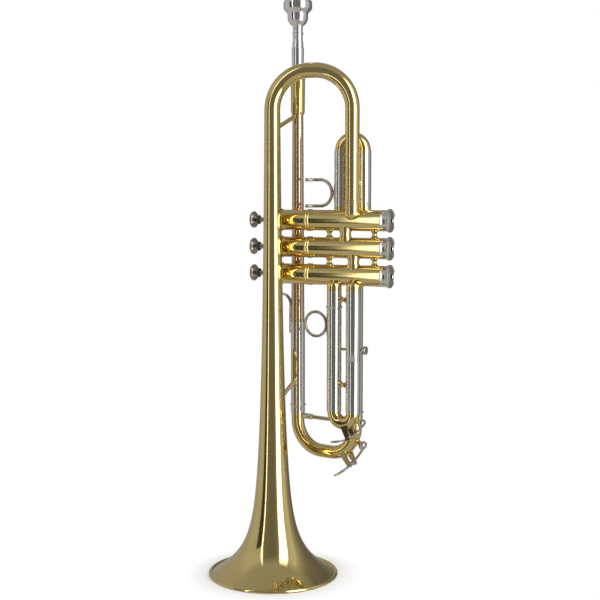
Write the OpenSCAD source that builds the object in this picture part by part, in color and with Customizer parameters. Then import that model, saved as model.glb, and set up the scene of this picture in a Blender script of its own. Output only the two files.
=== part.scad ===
// A piston-valve trumpet, standing on its bell.
// Z runs up the bell axis from the rest face on the rim, X along the valves towards their bottom
// caps, and Y towards the mouthpipe side. The origin is the centre of the rest face.

/* [Bell] */
// Outer diameter of the rolled rim
rim_d = 123.8; // [118:0.2:130]
// Diameter of the bead rolled round the rim wire
bead_d = 3.2; // [2.8:0.1:4]
// Diameter of the wire inside the bead
rim_wire_d = 2; // [1.6:0.1:2.2]
// Depth of the flat that the rim rests on
rest_flat = 0.3; // [0.2:0.05:0.5]
// Height at which the bow begins
bow_z = 441.5; // [430:0.5:455]
// Wall of the bell and its tubes
bell_wall = 0.7; // [0.6:0.05:0.9]
// Outer diameter where the bell meets the bow
bow_bell_d = 14.9; // [14.4:0.1:15.6]
// Outer diameter where the bow meets the tail
tail_d = 13.3; // [13:0.1:13.8]
// Rise of the outer radius for each millimetre down the stem
stem_taper = 0.0062; // [0.004:0.0002:0.008]
// Radius that the throat adds at the rim
throat_rise = 14.1; // [12:0.1:15]
// Height over which the throat fades
throat_fade = 108; // [95:1:120]
// Height over which the flare fades
flare_fade = 19.8; // [17:0.2:23]

/* [Bow and tail] */
// Radius of the bow's two bends
bow_r = 35.5; // [33:0.5:37]
// Place of the tail along X
tail_x = 74.8; // [74.4:0.1:75.6]
// Place of the tail along Y
tail_y = 15; // [14.6:0.1:15.2]
// Length of the ferrule at the foot of the tail
tail_ferrule_h = 8; // [6:0.5:10]

/* [Tubes] */
// Bore of the slides
bore_d = 11.7; // [11.4:0.05:11.9]
// Wall of a slide tube
tube_wall = 0.5; // [0.45:0.05:0.6]
// Running clearance between a slide tube and its sleeve, on the radius
slide_gap = 0.05; // [0.03:0.01:0.08]
// Wall of a bent crook
crook_wall = 0.45; // [0.4:0.05:0.55]
// Diameter of the bead round a sleeve's open end
sleeve_bead_d = 15.7; // [15.4:0.1:15.9]
// Gap left where a sliding piece stops
stop_gap = 0.3; // [0.2:0.05:0.4]

/* [Valves] */
// Distance between two valves
valve_pitch = 25.6; // [24.6:0.1:27]
// Height of the first valve
valve_top_z = 339; // [330:0.5:345]
// Place of the valves along Y
valve_y = 23; // [22.6:0.1:23.3]
// Outer diameter of a casing
casing_d = 19.4; // [19.2:0.1:19.8]
// Bore of a casing below its shoulder
casing_bore = 17; // [16.8:0.1:17.2]
// Bore of a casing above its shoulder
barrel_bore = 17.8; // [17.6:0.1:18]
// Upper end of a casing along X
casing_start = -5; // [-6:0.5:-4]
// Height of a bottom cap's wall below the casing
cap_skirt = 6.5; // [5.5:0.5:7.5]
// Place of the shoulder that the guide sits on
shoulder_x = 31; // [30:0.5:33]
// Travel of a piston
stroke = 16.5; // [15:0.5:17]
// Radial clearance of a piston in its casing
piston_gap = 0.05; // [0.03:0.01:0.08]
// Length of a piston
piston_h = 56; // [50:0.5:60]
// Diameter of a finger button
button_d = 16; // [14:0.5:17]
// Thickness of a finger button
button_t = 5.9; // [5:0.1:6.5]
// Diameter of a valve stem
stem_d = 4.7; // [4.2:0.1:5.2]
// Thickness of a valve felt
felt_t = 1.8; // [1.4:0.1:2.2]
// Diameter of a bottom cap's rim
cap_rim_d = 21.8; // [21.4:0.1:22.4]

/* [Mouthpipe] */
// Place of the mouthpipe along X
pipe_x = 5.3; // [4.6:0.1:6]
// Place of the mouthpipe along Y
pipe_y = 43; // [42:0.2:44.4]
// Outer diameter of the mouthpipe at its narrow end
pipe_top_d = 10.6; // [10.2:0.1:11]
// Height of the receiver's open end
receiver_top_z = 484; // [480:0.5:490]
// Length of the receiver
receiver_h = 44.5; // [42:0.5:50]
// Outer diameter of the receiver at its open end
receiver_d = 13.9; // [13.5:0.1:14.4]

/* [Mouthpiece] */
// Diameter of the rim
mp_rim_d = 27.5; // [26.5:0.1:28]
// Inner diameter of the cup
mp_cup_d = 16.8; // [16:0.1:17.5]
// Depth of the cup
mp_cup_h = 12.5; // [11:0.5:14]
// Diameter of the throat
mp_throat_d = 3.7; // [3.5:0.05:4.2]
// Length of the mouthpiece that shows
mp_out_h = 63.4; // [61:0.2:66]
// Depth of the shank in the receiver
mp_in_h = 24.5; // [22:0.5:26]

/* [Main tuning slide] */
// Place of the lower leg along X
main_x = 72.5; // [72:0.1:73.2]
// Place of the lower leg along Y
main_y = 30; // [29.8:0.1:30.6]
// Height where the bend starts
main_bend_z = 150; // [146:0.5:153]
// Radius of the bend's two corners
main_corner_r = 28; // [27:0.5:30]
// Height of the sleeves' open ends
main_sleeve_z = 156.5; // [155:0.5:160]
// Length of the slide tubes above the bend
main_tube_h = 82; // [70:1:83]

/* [Third slide] */
// Place of the lower leg along X
third_low_x = 76.5; // [76:0.1:77]
// Place of the lower leg along Y
third_low_y = 15; // [14.6:0.1:15.2]
// Place of the upper leg along X
third_up_x = 55.9; // [55.4:0.1:56.4]
// Place of the upper leg along Y
third_up_y = 17.4; // [17:0.1:18]
// Height where the bend starts
third_bend_z = 159.5; // [157:0.5:163]
// Height of the seam on the lower leg
third_seam_z = 209; // [205:0.5:215]
// Height of the collar on the upper leg
third_collar_z = 257; // [254:0.5:259]
// Outer diameter of the finger ring
ring_d = 25.9; // [24:0.5:28]
// Diameter of the finger ring's wire
ring_wire_d = 2.8; // [2:0.1:3]
// Height of the finger ring
ring_z = 241; // [238:0.5:243]

/* [First slide] */
// Place of the upper leg along X
first_up_x = 59.4; // [59:0.1:59.8]
// Place of the upper leg along Y
first_up_y = 25.8; // [25.6:0.1:26.4]
// Place of the lower leg along X
first_low_x = 79.9; // [79.4:0.1:80.4]
// Place of the lower leg along Y
first_low_y = 30.3; // [30.1:0.1:31]
// Height where the bend starts
first_bend_z = 404; // [400:0.5:410]
// Radius of the thumb saddle's bend
saddle_r = 12.35; // [11.5:0.05:12.8]
// Diameter of the thumb saddle's wire
saddle_wire_d = 3; // [2.6:0.1:3.2]
// Length of the thumb saddle's straight arms
saddle_arm = 15.5; // [14:0.5:22]
// Height of the thumb saddle
saddle_z = 364.6; // [364.6:0.2:372]

/* [Second slide] */
// Place of the upper leg along X
second_up_x = 51.5; // [51:0.1:52]
// Place of the lower leg along X
second_low_x = 72.5; // [72:0.1:73]
// Place of the sleeves' open ends along Y
second_bend_y = 61; // [58:0.5:64]

/* [Fittings] */
// Rod diameter of the two bell braces
brace_d = 4; // [3.4:0.1:4.6]
// Height of the upper bell brace at the mouthpipe
upper_brace_z = 439.8; // [439:0.2:443]
// Height of the lower bell brace at the mouthpipe
lower_brace_z = 185.6; // [182:0.2:188]
// Diameter of a waisted strut at its ends
strut_d = 7.5; // [6.5:0.1:8.5]
// Diameter of a waisted strut at its waist
strut_waist_d = 4; // [3.4:0.1:5]
// Outer diameter of a knuckle tube between two valves
knuckle_d = 10.5; // [10:0.1:11]
// Bend radius of the little-finger hook
hook_r = 10.5; // [9.5:0.25:12]
// Width of the hook's band
hook_w = 4.6; // [4:0.1:5.5]
// Rod diameter of the tuning slide's brace
slide_brace_d = 3.7; // [3.2:0.1:4.2]

/* [Hidden] */

$fn = 64;
BRASS = [0.80, 0.68, 0.36];
ROSE = [0.74, 0.56, 0.42];
NICKEL = [0.74, 0.73, 0.69];
SILVER = [0.84, 0.84, 0.83];
STEEL = [0.55, 0.55, 0.56];
CORK = [0.62, 0.47, 0.30];
FELT = [0.30, 0.12, 0.12];
EPS = 0.01;
FAR = 40;

// Tube diameters, from the bore outwards.
inner_d = bore_d + 2 * tube_wall;
sleeve_bore = inner_d + 2 * slide_gap;
sleeve_d = sleeve_bore + 2 * tube_wall;
crook_d = bore_d + 2 * crook_wall;

// Places of the legs, as [x, y].
PIPE = [pipe_x, pipe_y];
MAIN = [main_x, main_y];
THIRD_LOW = [third_low_x, third_low_y];
THIRD_UP = [third_up_x, third_up_y];
FIRST_UP = [first_up_x, first_up_y];
FIRST_LOW = [first_low_x, first_low_y];
TAIL = [tail_x, tail_y];

// The mouthpipe's wide end sits in the tuning slide's sleeve, clear of the pushed-in slide tube.
pipe_seat = 6;
tube_top_gap = 2;
pipe_foot_z = main_bend_z + main_tube_h + tube_top_gap + pipe_seat;

// Stations along a valve.
button_under = -27.5;
cap_face = button_under + felt_t + stroke + 0.5;
cap_plate = 1.5;
barrel_top = cap_face + cap_plate + stop_gap + felt_t;
barrel_plate = 1.5;
barrel_d = 15.4;
barrel_wall = 0.7;
piston_start = 36;
piston_end = piston_start + piston_h;
thread_d = casing_bore + 1.2;
thread_h = 4.5;
cap_inner = piston_end + stroke + 0.5;
casing_end = cap_inner - cap_skirt;
guide_t = 2.4;
wing_w = 2.8;
top_cap_d = casing_d + 2;
knuckle_1_x = 65.5;
knuckle_2_x = 73.8;
knuckle_y = valve_y - 2;
knuckle_bore = 9;
knuckle_flange_d = knuckle_d + 1.6;
strut_xs = [48.2, casing_end - 8.6];

// Distance of an elbow's ball from the valve axis, for each kind of leg.
elbow_tail = 7.5;
elbow_slide = 9;
elbow_third = 11;
elbow_stub = 3.2;

function valve_z(i) = valve_top_z - (i - 1) * valve_pitch;
function mid(a, b) = (a + b) / 2;
function heading(a, b) = atan2(b[1] - a[1], b[0] - a[0]);
function arc(c, r, from, to, n) =
    [for (i = [0:n]) let (a = from + (to - from) * i / n) [c[0] + r * cos(a), c[1] + r * sin(a)]];
function half_pitch(a, b) = norm(b - a) / 2;

// ---- Shared shapes ----

module tube(od, id, h) {
    difference() {
        cylinder(d = od, h = h);
        translate([0, 0, -1]) cylinder(d = id, h = h + 2);
    }
}

// A tube that stands at a leg's place between two heights.
module leg(at, z0, z1, od, id) {
    translate([at[0], at[1], z0]) tube(od, id, z1 - z0);
}

// A bead round a tube, its roundness on the tube's surface.
module bead(at, z, tube_d, bead_d) {
    w = (bead_d - tube_d) / 2;
    translate([at[0], at[1], z]) rotate_extrude()
        difference() {
            translate([tube_d / 2, 0]) circle(r = w, $fn = 24);
            translate([0, -2 * w]) square([tube_d / 2, 4 * w]);
        }
}

// A half-circle bend standing on a line between two legs; way is 1 upwards and -1 downwards.
module bend(a, b, z, od, id, way) {
    c = mid(a, b);
    translate([c[0], c[1], z]) rotate([0, 0, heading(a, b)]) rotate([way * 90, 0, 0])
        rotate_extrude(angle = 180) translate([half_pitch(a, b), 0]) difference() {
            circle(d = od, $fn = 48);
            circle(d = id, $fn = 48);
        }
}

// Places children in the plane of a bend: X across from leg a to leg b, Y up, Z out of the plane.
module bend_plane(a, b, z) {
    c = mid(a, b);
    translate([c[0], c[1], z]) rotate([0, 0, heading(a, b)]) rotate([90, 0, 0]) children();
}

// A strut with a waist, along Z.
module waisted(h, end_d, waist_d) {
    n = 8;
    sag = (end_d - waist_d) / 2;
    rotate_extrude($fn = 48) polygon(concat([[0, 0]],
        [for (i = [0:n]) [end_d / 2 - sag * sin(180 * i / n), h * i / n]], [[0, h]]));
}

// A pointed oval plate wrapped on a tube, facing +X before it is turned.
module foot(tube_d, t, w, l) {
    bow = (w * w + l * l) / (4 * w);
    intersection() {
        translate([0, 0, -l / 2]) tube(tube_d + 2 * t, tube_d, l);
        rotate([90, 0, 90]) linear_extrude(height = tube_d) intersection() {
            translate([bow - w / 2, 0]) circle(r = bow, $fn = 96);
            translate([w / 2 - bow, 0]) circle(r = bow, $fn = 96);
        }
    }
}

module on_valve(i) {
    translate([0, valve_y, valve_z(i)]) rotate([0, 90, 0]) children();
}

// A solid along a valve between two stations.
module valve_rod(x0, x1, d) {
    translate([0, 0, x0]) cylinder(d = d, h = x1 - x0);
}

module valve_solid(i) {
    on_valve(i) valve_rod(casing_start - 1, casing_end + 1, casing_d);
}

// The bar or the hollow of an elbow: half a ball beside the valve with a stub towards the leg.
module elbow(i, at, reach, way, d, extra) {
    translate([at[0], at[1], valve_z(i) + way * reach]) mirror([0, 0, way < 0 ? 1 : 0]) {
        rotate_extrude($fn = 48) intersection() {
            circle(d = d);
            translate([0, -d]) square([d, d]);
        }
        cylinder(d = d, h = elbow_stub + extra, $fn = 48);
    }
}

function elbow_end(i, reach, way) = valve_z(i) + way * (reach + elbow_stub);

// ---- Bell ----

bead_r = bead_d / 2;
bead_c = rim_d / 2 - bead_r;
rim_z = bead_r - rest_flat;
stem_r0 = bow_bell_d / 2;
flare_rise = bead_c - stem_r0 - stem_taper * (bow_z - rim_z) - throat_rise;

function bell_r(z) = stem_r0 + stem_taper * (bow_z - z)
    + flare_rise * exp(-(z - rim_z) / flare_fade)
    + throat_rise * (exp(-(z - rim_z) / throat_fade) - exp(-(bow_z - rim_z) / throat_fade));

// Heights of the outline's points, closer together towards the rim.
bell_steps = 44;
function bell_h(i) = rim_z + (bow_z - rim_z) * pow(i / bell_steps, 2.2);
bell_line = [for (i = [0:bell_steps]) [bell_r(bell_h(i)), bell_h(i)]];
bell_line_in = [for (i = [bell_steps:-1:0]) [bell_r(bell_h(i)) - bell_wall, bell_h(i)]];

module bell() {
    color(BRASS) rotate_extrude($fn = 96) difference() {
        union() {
            polygon(concat(bell_line, bell_line_in));
            translate([bead_c, rim_z]) circle(r = bead_r, $fn = 32);
        }
        translate([bead_c, rim_z]) circle(d = rim_wire_d, $fn = 24);
        translate([0, -bead_d]) square([rim_d, bead_d]);
    }
}

module bell_rim_wire() {
    color(STEEL) rotate_extrude($fn = 96) translate([bead_c, rim_z])
        circle(d = rim_wire_d, $fn = 24);
}

// The bow: a tapered tube swept over a quarter bend, a short straight and a quarter bend.
bow_span = norm(TAIL);
bow_flat = bow_span - 2 * bow_r;
bow_len = PI * bow_r + bow_flat;
bow_rings = 32;
bow_sides = 32;

// Place and heading along the bow at a distance from its start, as [across, up, angle].
function bow_at(s) = let (q = PI * bow_r / 2)
    s <= q ? let (a = s / bow_r * 180 / PI)
        [bow_r - bow_r * cos(a), bow_z + bow_r * sin(a), 90 - a]
    : s <= q + bow_flat ? [bow_r + s - q, bow_z + bow_r, 0]
    : let (a = (s - q - bow_flat) / bow_r * 180 / PI)
        [bow_r + bow_flat + bow_r * sin(a), bow_z + bow_r * cos(a), -a];

function bow_ring(s, inset) = let (
    p = bow_at(s),
    r = (bow_bell_d + (tail_d - bow_bell_d) * s / bow_len) / 2 - inset)
    [for (k = [0:bow_sides - 1]) let (t = 360 * k / bow_sides)
        [p[0] - r * cos(t) * sin(p[2]), r * sin(t), p[1] + r * cos(t) * cos(p[2])]];

module bell_bow() {
    n = bow_sides;
    m = bow_rings;
    skins = [for (inset = [0, bell_wall]) for (j = [0:m]) each bow_ring(bow_len * j / m, inset)];
    base = (m + 1) * n;
    outer = [for (j = [0:m - 1]) for (k = [0:n - 1]) let (l = (k + 1) % n)
        each [[j * n + k, j * n + l, (j + 1) * n + l], [j * n + k, (j + 1) * n + l, (j + 1) * n + k]]];
    inner = [for (f = outer) [base + f[0], base + f[2], base + f[1]]];
    first = [for (k = [0:n - 1]) let (l = (k + 1) % n)
        each [[k, base + k, base + l], [k, base + l, l]]];
    last = [for (k = [0:n - 1]) let (l = (k + 1) % n, o = m * n)
        each [[o + k, base + o + l, base + o + k], [o + k, o + l, base + o + l]]];
    color(BRASS) rotate([0, 0, heading([0, 0], TAIL)])
        polyhedron(points = skins, faces = concat(outer, inner, first, last));
}

tail_foot_z = elbow_end(1, elbow_tail, 1);

module bell_tail() {
    color(BRASS) {
        leg(TAIL, tail_foot_z, bow_z, tail_d, tail_d - 2 * bell_wall);
        leg(TAIL, tail_foot_z, tail_foot_z + tail_ferrule_h, tail_d + 1, tail_d);
        bead(TAIL, tail_foot_z + tail_ferrule_h - 1, tail_d + 1, tail_d + 2);
    }
}

// ---- Mouthpipe ----

pipe_foot_d = sleeve_bore;
receiver_foot_z = receiver_top_z - receiver_h;
pipe_top_z = receiver_top_z - mp_in_h - 2;
shank_tip_r = 4.95;
shank_r = 5.6;
taper_gap = 0.06;
receiver_chamfer = 2.5;

module leadpipe() {
    h = pipe_top_z - pipe_foot_z;
    color(ROSE) translate([pipe_x, pipe_y, 0]) difference() {
        union() {
            translate([0, 0, pipe_foot_z - pipe_seat]) cylinder(d = pipe_foot_d, h = pipe_seat);
            translate([0, 0, pipe_foot_z])
                cylinder(d1 = pipe_foot_d, d2 = pipe_top_d, h = receiver_foot_z - pipe_foot_z);
            translate([0, 0, receiver_foot_z]) cylinder(d = pipe_top_d, h = pipe_top_z - receiver_foot_z);
        }
        translate([0, 0, pipe_foot_z - pipe_seat - EPS])
            cylinder(d1 = bore_d, d2 = pipe_top_d - 1.4, h = h + pipe_seat + 2 * EPS);
    }
}

module mouthpiece_receiver() {
    r = receiver_d / 2;
    top = receiver_top_z;
    color(BRASS) translate([pipe_x, pipe_y, 0]) rotate_extrude() polygon(concat(
        [[pipe_top_d / 2, receiver_foot_z],
         [pipe_top_d / 2 + 0.6, receiver_foot_z],
         [r - 0.3, receiver_foot_z + receiver_chamfer],
         [r, top - 4.6],
         [r + 0.45, top - 4.4],
         [r + 0.45, top - 0.6],
         [r, top],
         [shank_r + taper_gap + 0.3, top],
         [shank_r + taper_gap, top - 0.3],
         [shank_tip_r + taper_gap, top - mp_in_h],
         [shank_tip_r + taper_gap - 0.3, top - mp_in_h - 2],
         [pipe_top_d / 2, pipe_top_z]]));
}

// ---- Mouthpiece ----

mp_top = receiver_top_z + mp_out_h;
mp_rim_r = mp_rim_d / 2;
mp_lip_r = 2.2;
mp_neck_z = receiver_top_z + 19;

// Outline of the outside from the shank's tip to the rim, as [radius, height].
mp_outside = concat(
    [[shank_tip_r, receiver_top_z - mp_in_h],
     [shank_r, receiver_top_z],
     [5.95, mp_neck_z - 0.8],
     [5.75, mp_neck_z],
     [5.4, mp_neck_z + 0.2],
     [5.35, mp_neck_z + 3.4],
     [4.95, mp_neck_z + 5.6],
     [4.75, mp_neck_z + 8],
     [4.85, mp_neck_z + 10.6]],
    arc([3.8, mp_neck_z + 13.4], 1.5, -50, 50, 6),
    [[4.65, mp_neck_z + 15.6],
     [4.85, mp_neck_z + 17.6],
     [4.75, mp_neck_z + 19]],
    arc([0.9, mp_top - 16.1], 8.95, -63, 0, 10),
    [[9.95, mp_top - 13.2],
     [10.3, mp_top - 11.8],
     [mp_rim_r - 2.7, mp_top - 11],
     [mp_rim_r - 0.3, mp_top - 8.4],
     [mp_rim_r, mp_top - 7.8]],
    arc([mp_rim_r - mp_lip_r, mp_top - mp_lip_r], mp_lip_r, 0, 90, 6));

// Outline of the inside from the rim down to the shank's tip.
mp_inside = concat(
    arc([mp_cup_d / 2 + mp_lip_r / 1.6, mp_top - mp_lip_r], mp_lip_r / 1.6, 110, 180, 4),
    [for (i = [1:6]) let (a = 90 * i / 6)
        [mp_throat_d / 2 + (mp_cup_d / 2 - mp_throat_d / 2) * cos(a),
         mp_top - mp_lip_r - (mp_cup_h - mp_lip_r) * sin(a)]],
    [[mp_throat_d / 2, mp_top - mp_cup_h - 5],
     [shank_tip_r - 0.7, receiver_top_z - mp_in_h]]);

module mouthpiece() {
    color(SILVER) translate([pipe_x, pipe_y, 0]) rotate_extrude() polygon(concat(mp_outside, mp_inside));
}

// ---- Main tuning slide ----

module main_slide_upper_sleeve() {
    color(NICKEL) {
        leg(PIPE, main_sleeve_z, pipe_foot_z, sleeve_d, sleeve_bore);
        bead(PIPE, main_sleeve_z + 1.2, sleeve_d, sleeve_bead_d);
    }
}

module main_slide_lower_sleeve() {
    color(NICKEL) {
        leg(MAIN, main_sleeve_z, elbow_end(3, elbow_slide, -1), sleeve_d, sleeve_bore);
        bead(MAIN, main_sleeve_z + 1.2, sleeve_d, sleeve_bead_d);
    }
}

// Half the straight between the bend's two corners, and the height of the corners' centres.
main_flat = half_pitch(PIPE, MAIN) - main_corner_r;
main_low_z = main_bend_z - main_flat;

// The plane of the tuning slide's bend, from the centre of the corner that carries the water key.
module main_key_plane() {
    bend_plane(PIPE, MAIN, main_low_z) translate([main_flat, 0, 0]) children();
}

module third_key_plane() {
    bend_plane(THIRD_UP, THIRD_LOW, third_bend_z) children();
}

// The drain hole through a bend's wall, under the key's nipple.
module drain(angle, r) {
    rotate([0, 0, -angle]) rotate([0, 90, 0]) translate([0, 0, r])
        cylinder(d = nipple_bore, h = crook_d);
}

// Two quarter bends with a straight between them and a short straight above each.
module main_bend_tube(od, id) {
    bend_plane(PIPE, MAIN, main_low_z) {
        translate([-main_flat, -main_corner_r, 0]) rotate([0, 90, 0]) tube(od, id, 2 * main_flat, $fn = 48);
        for (side = [0, 1]) mirror([side, 0, 0]) translate([main_flat, 0, 0]) {
            rotate([0, 0, -90]) rotate_extrude(angle = 90) translate([main_corner_r, 0]) difference() {
                circle(d = od, $fn = 48);
                circle(d = id, $fn = 48);
            }
            translate([main_corner_r, 0, 0]) rotate([-90, 0, 0]) tube(od, id, main_flat, $fn = 48);
        }
    }
}

module main_slide_crook() {
    color(BRASS) difference() {
        main_bend_tube(crook_d, bore_d);
        main_key_plane() drain(main_cup_angle, main_corner_r);
    }
}

module main_slide_tubes() {
    color(NICKEL) for (at = [PIPE, MAIN]) {
        leg(at, main_bend_z, main_bend_z + main_tube_h, inner_d, bore_d);
        leg(at, main_bend_z, main_sleeve_z - stop_gap, sleeve_d, inner_d);
    }
}

brace_socket_d = 5.5;
brace_socket_h = 11;
main_brace_drop = 2.5;

module main_slide_brace() {
    span = half_pitch(PIPE, MAIN);
    color(NICKEL) difference() {
        bend_plane(PIPE, MAIN, main_bend_z) translate([0, -main_brace_drop, 0]) rotate([0, 90, 0]) {
            translate([0, 0, -span]) cylinder(d = slide_brace_d, h = 2 * span);
            for (side = [0, 1]) mirror([0, 0, side]) {
                translate([0, 0, span - crook_d / 2 - brace_socket_h])
                    cylinder(d = brace_socket_d, h = crook_d / 2 + brace_socket_h);
                translate([0, 0, span - crook_d / 2 - brace_socket_h - 0.6])
                    cylinder(d1 = slide_brace_d, d2 = brace_socket_d, h = 0.6 + EPS);
            }
        }
        for (at = [PIPE, MAIN]) {
            translate([at[0], at[1], main_low_z]) cylinder(d = crook_d, h = main_flat);
            translate([at[0], at[1], main_bend_z - EPS]) cylinder(d = sleeve_d, h = 9);
        }
    }
}

// ---- Water keys ----

nipple_d = 5.2;
nipple_bore = 2.4;
key_w = 3.2;
ear_t = 1;
ear_in = 4.9;
pin_d = 1.6;
pin_gap = 0.05;
pin_end = 0.4;
key_barrel_d = 4;
spring_wire_d = 0.7;
cork_d = 6.6;
cork_h = 3;
cup_d = 8.6;
cup_h = 4.2;
cork_gap = 0.1;

// Angles below the horizontal, and distances from the bend's centre, of each key's parts.
main_cup_angle = 25.3;
main_seat_r = main_corner_r + 9.8;
main_pivot = [56.6, main_corner_r + 15.4];
main_tip = [85.7, main_corner_r + 22.9];
third_cup_angle = 24.7;
third_seat_r = half_pitch(THIRD_UP, THIRD_LOW) + 8.6;
third_pivot = [72.5, half_pitch(THIRD_UP, THIRD_LOW) + 13.9];
third_tip = [114, half_pitch(THIRD_UP, THIRD_LOW) + 22.3];

// Where a key's back runs: through the cup's back, the pivot and the tip.
function key_line(cup_a, cup_r, pivot, tip, a) =
    cup_r * (a - pivot[0]) * (a - tip[0]) / ((cup_a - pivot[0]) * (cup_a - tip[0]))
    + pivot[1] * (a - cup_a) * (a - tip[0]) / ((pivot[0] - cup_a) * (pivot[0] - tip[0]))
    + tip[1] * (a - cup_a) * (a - pivot[0]) / ((tip[0] - cup_a) * (tip[0] - pivot[0]));

function polar(r, a) = [r * cos(a), -r * sin(a)];

module key_arm(cup_a, cup_r, pivot, tip, from, w) {
    n = 14;
    thick = function (a) 0.7 + 0.9 * exp(-pow((a - pivot[0]) / 14, 2));
    line = function (a) key_line(cup_a, cup_r, pivot, tip, a);
    translate([0, 0, -w / 2]) linear_extrude(height = w) polygon(concat(
        [for (i = [0:n]) let (a = from + (tip[0] - from) * i / n) polar(line(a) + thick(a), a)],
        [for (i = [n:-1:0]) let (a = from + (tip[0] - from) * i / n) polar(line(a) - thick(a), a)]));
}

// A key: cup, arm, barrel on the pivot and a wider touch piece.
module water_key(cup_a, seat_r, pivot, tip) {
    cup_r = seat_r + cork_gap + cork_h;
    back_r = cup_r + 1.4;
    hinge = polar(pivot[1], pivot[0]);
    touch_from = pivot[0] + (tip[0] - pivot[0]) * 0.45;
    difference() {
        union() {
            key_arm(cup_a, back_r, pivot, tip, cup_a - 2, key_w);
            key_arm(cup_a, back_r, pivot, tip, touch_from, 2 * key_w);
            translate([hinge[0], hinge[1], -ear_in + 0.2])
                cylinder(d = key_barrel_d, h = 2 * ear_in - 0.4, $fn = 32);
            rotate([0, 0, -cup_a]) rotate([0, 90, 0])
                translate([0, 0, cup_r - 1.8]) cylinder(d = cup_d, h = cup_h, $fn = 48);
        }
        rotate([0, 0, -cup_a]) rotate([0, 90, 0])
            translate([0, 0, seat_r - 1]) cylinder(d = cork_d, h = cup_r - seat_r + 1, $fn = 48);
        translate([hinge[0], hinge[1], -5]) cylinder(d = pin_d + 2 * pin_gap, h = 10, $fn = 24);
    }
}

module key_cork(cup_a, seat_r) {
    rotate([0, 0, -cup_a]) rotate([0, 90, 0])
        translate([0, 0, seat_r + cork_gap]) cylinder(d = cork_d, h = cork_h, $fn = 48);
}

// The stretch of tube under a fitting on a bend, taken as straight.
module under_fitting(angle, hp) {
    rotate([0, 0, -angle]) translate([hp, 0, 0]) rotate([90, 0, 0])
        cylinder(d = crook_d, h = 24, center = true);
}

// Nipple, two ears and the pin between them.
module key_seat(cup_a, seat_r, pivot, hp) {
    hinge = polar(pivot[1], pivot[0]);
    base_r = hp + crook_d / 2;
    low = hp + 1;
    difference() {
        rotate([0, 0, -cup_a]) rotate([0, 90, 0]) translate([0, 0, base_r - 2]) difference() {
            cylinder(d = nipple_d, h = seat_r - base_r + 2, $fn = 40);
            translate([0, 0, -1]) cylinder(d = nipple_bore, h = seat_r, $fn = 24);
        }
        under_fitting(cup_a, hp);
    }
    difference() {
        union() {
            for (side = [0, 1]) mirror([0, 0, side]) translate([0, 0, ear_in]) {
                translate([hinge[0], hinge[1], 0]) cylinder(d = 4.4, h = ear_t, $fn = 32);
                rotate([0, 0, -pivot[0]]) linear_extrude(height = ear_t)
                    polygon([
                        [low, -3.6],
                        [low, 3.6],
                        [base_r, 3.3],
                        [pivot[1], 2],
                        [pivot[1], -2],
                        [base_r, -3.3]]);
            }
            translate([hinge[0], hinge[1], -ear_in - ear_t - pin_end])
                cylinder(d = pin_d, h = 2 * (ear_in + ear_t + pin_end), $fn = 24);
        }
        under_fitting(pivot[0], hp);
    }
}

// A point of a helix about Z after t turns.
function helix_point(r, pitch, t) = [r * cos(360 * t), r * sin(360 * t), pitch * t];

// A closed tube of round wire through points.
module wire_tube(points, r, sides) {
    m = len(points);
    dirs = [for (i = [0:m - 1]) let (d = points[min(i + 1, m - 1)] - points[max(i - 1, 0)]) d / norm(d)];
    rings = [for (i = [0:m - 1]) let (
        d = dirs[i],
        side = abs(d[2]) < 0.9 ? cross(d, [0, 0, 1]) : cross(d, [1, 0, 0]),
        e = side / norm(side),
        f = cross(e, d))
        for (k = [0:sides - 1]) points[i] + r * cos(360 * k / sides) * e + r * sin(360 * k / sides) * f];
    skin = [for (i = [0:m - 2]) for (k = [0:sides - 1]) let (
        l = (k + 1) % sides, a = i * sides, b = a + sides)
        each [[a + k, a + l, b + l], [a + k, b + l, b + k]]];
    caps = [for (k = [1:sides - 2])
        each [[0, k + 1, k], [(m - 1) * sides, (m - 1) * sides + k, (m - 1) * sides + k + 1]]];
    polyhedron(points = rings, faces = concat(skin, caps));
}

// The least distance between the surfaces of neighbouring curls, and between curl and bore.
module say_gap(name, pitch, r) {
    echo(str(name, " least gap to itself: ", pitch - 2 * r));
}

ring_points = 8;

// ---- Third slide ----

third_tube_top = 271;
third_inner_foot = 166;

module third_slide_crook() {
    color(BRASS) difference() {
        bend(THIRD_UP, THIRD_LOW, third_bend_z, crook_d, bore_d, -1);
        third_key_plane() drain(third_cup_angle, half_pitch(THIRD_UP, THIRD_LOW));
    }
}

// The lower leg is a slide tube with a sleeve foot; the upper leg is a sleeve over a fixed tube.
module third_slide_tubes() {
    color(NICKEL) {
        leg(THIRD_LOW, third_bend_z, third_tube_top, inner_d, bore_d);
        leg(THIRD_LOW, third_bend_z, third_seam_z - stop_gap, sleeve_d, inner_d);
        leg(THIRD_UP, third_bend_z, third_collar_z - stop_gap, sleeve_d, sleeve_bore);
    }
}

module third_slide_sleeves() {
    color(NICKEL) {
        leg(THIRD_LOW, third_seam_z, elbow_end(3, elbow_third, -1), sleeve_d, sleeve_bore);
        leg(THIRD_UP, third_inner_foot, elbow_end(3, elbow_third, -1), inner_d, bore_d);
        leg(THIRD_UP, third_collar_z, elbow_end(3, elbow_third, -1), sleeve_d, inner_d);
        bead(THIRD_UP, third_collar_z + 1.2, sleeve_d, sleeve_bead_d);
    }
}

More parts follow.
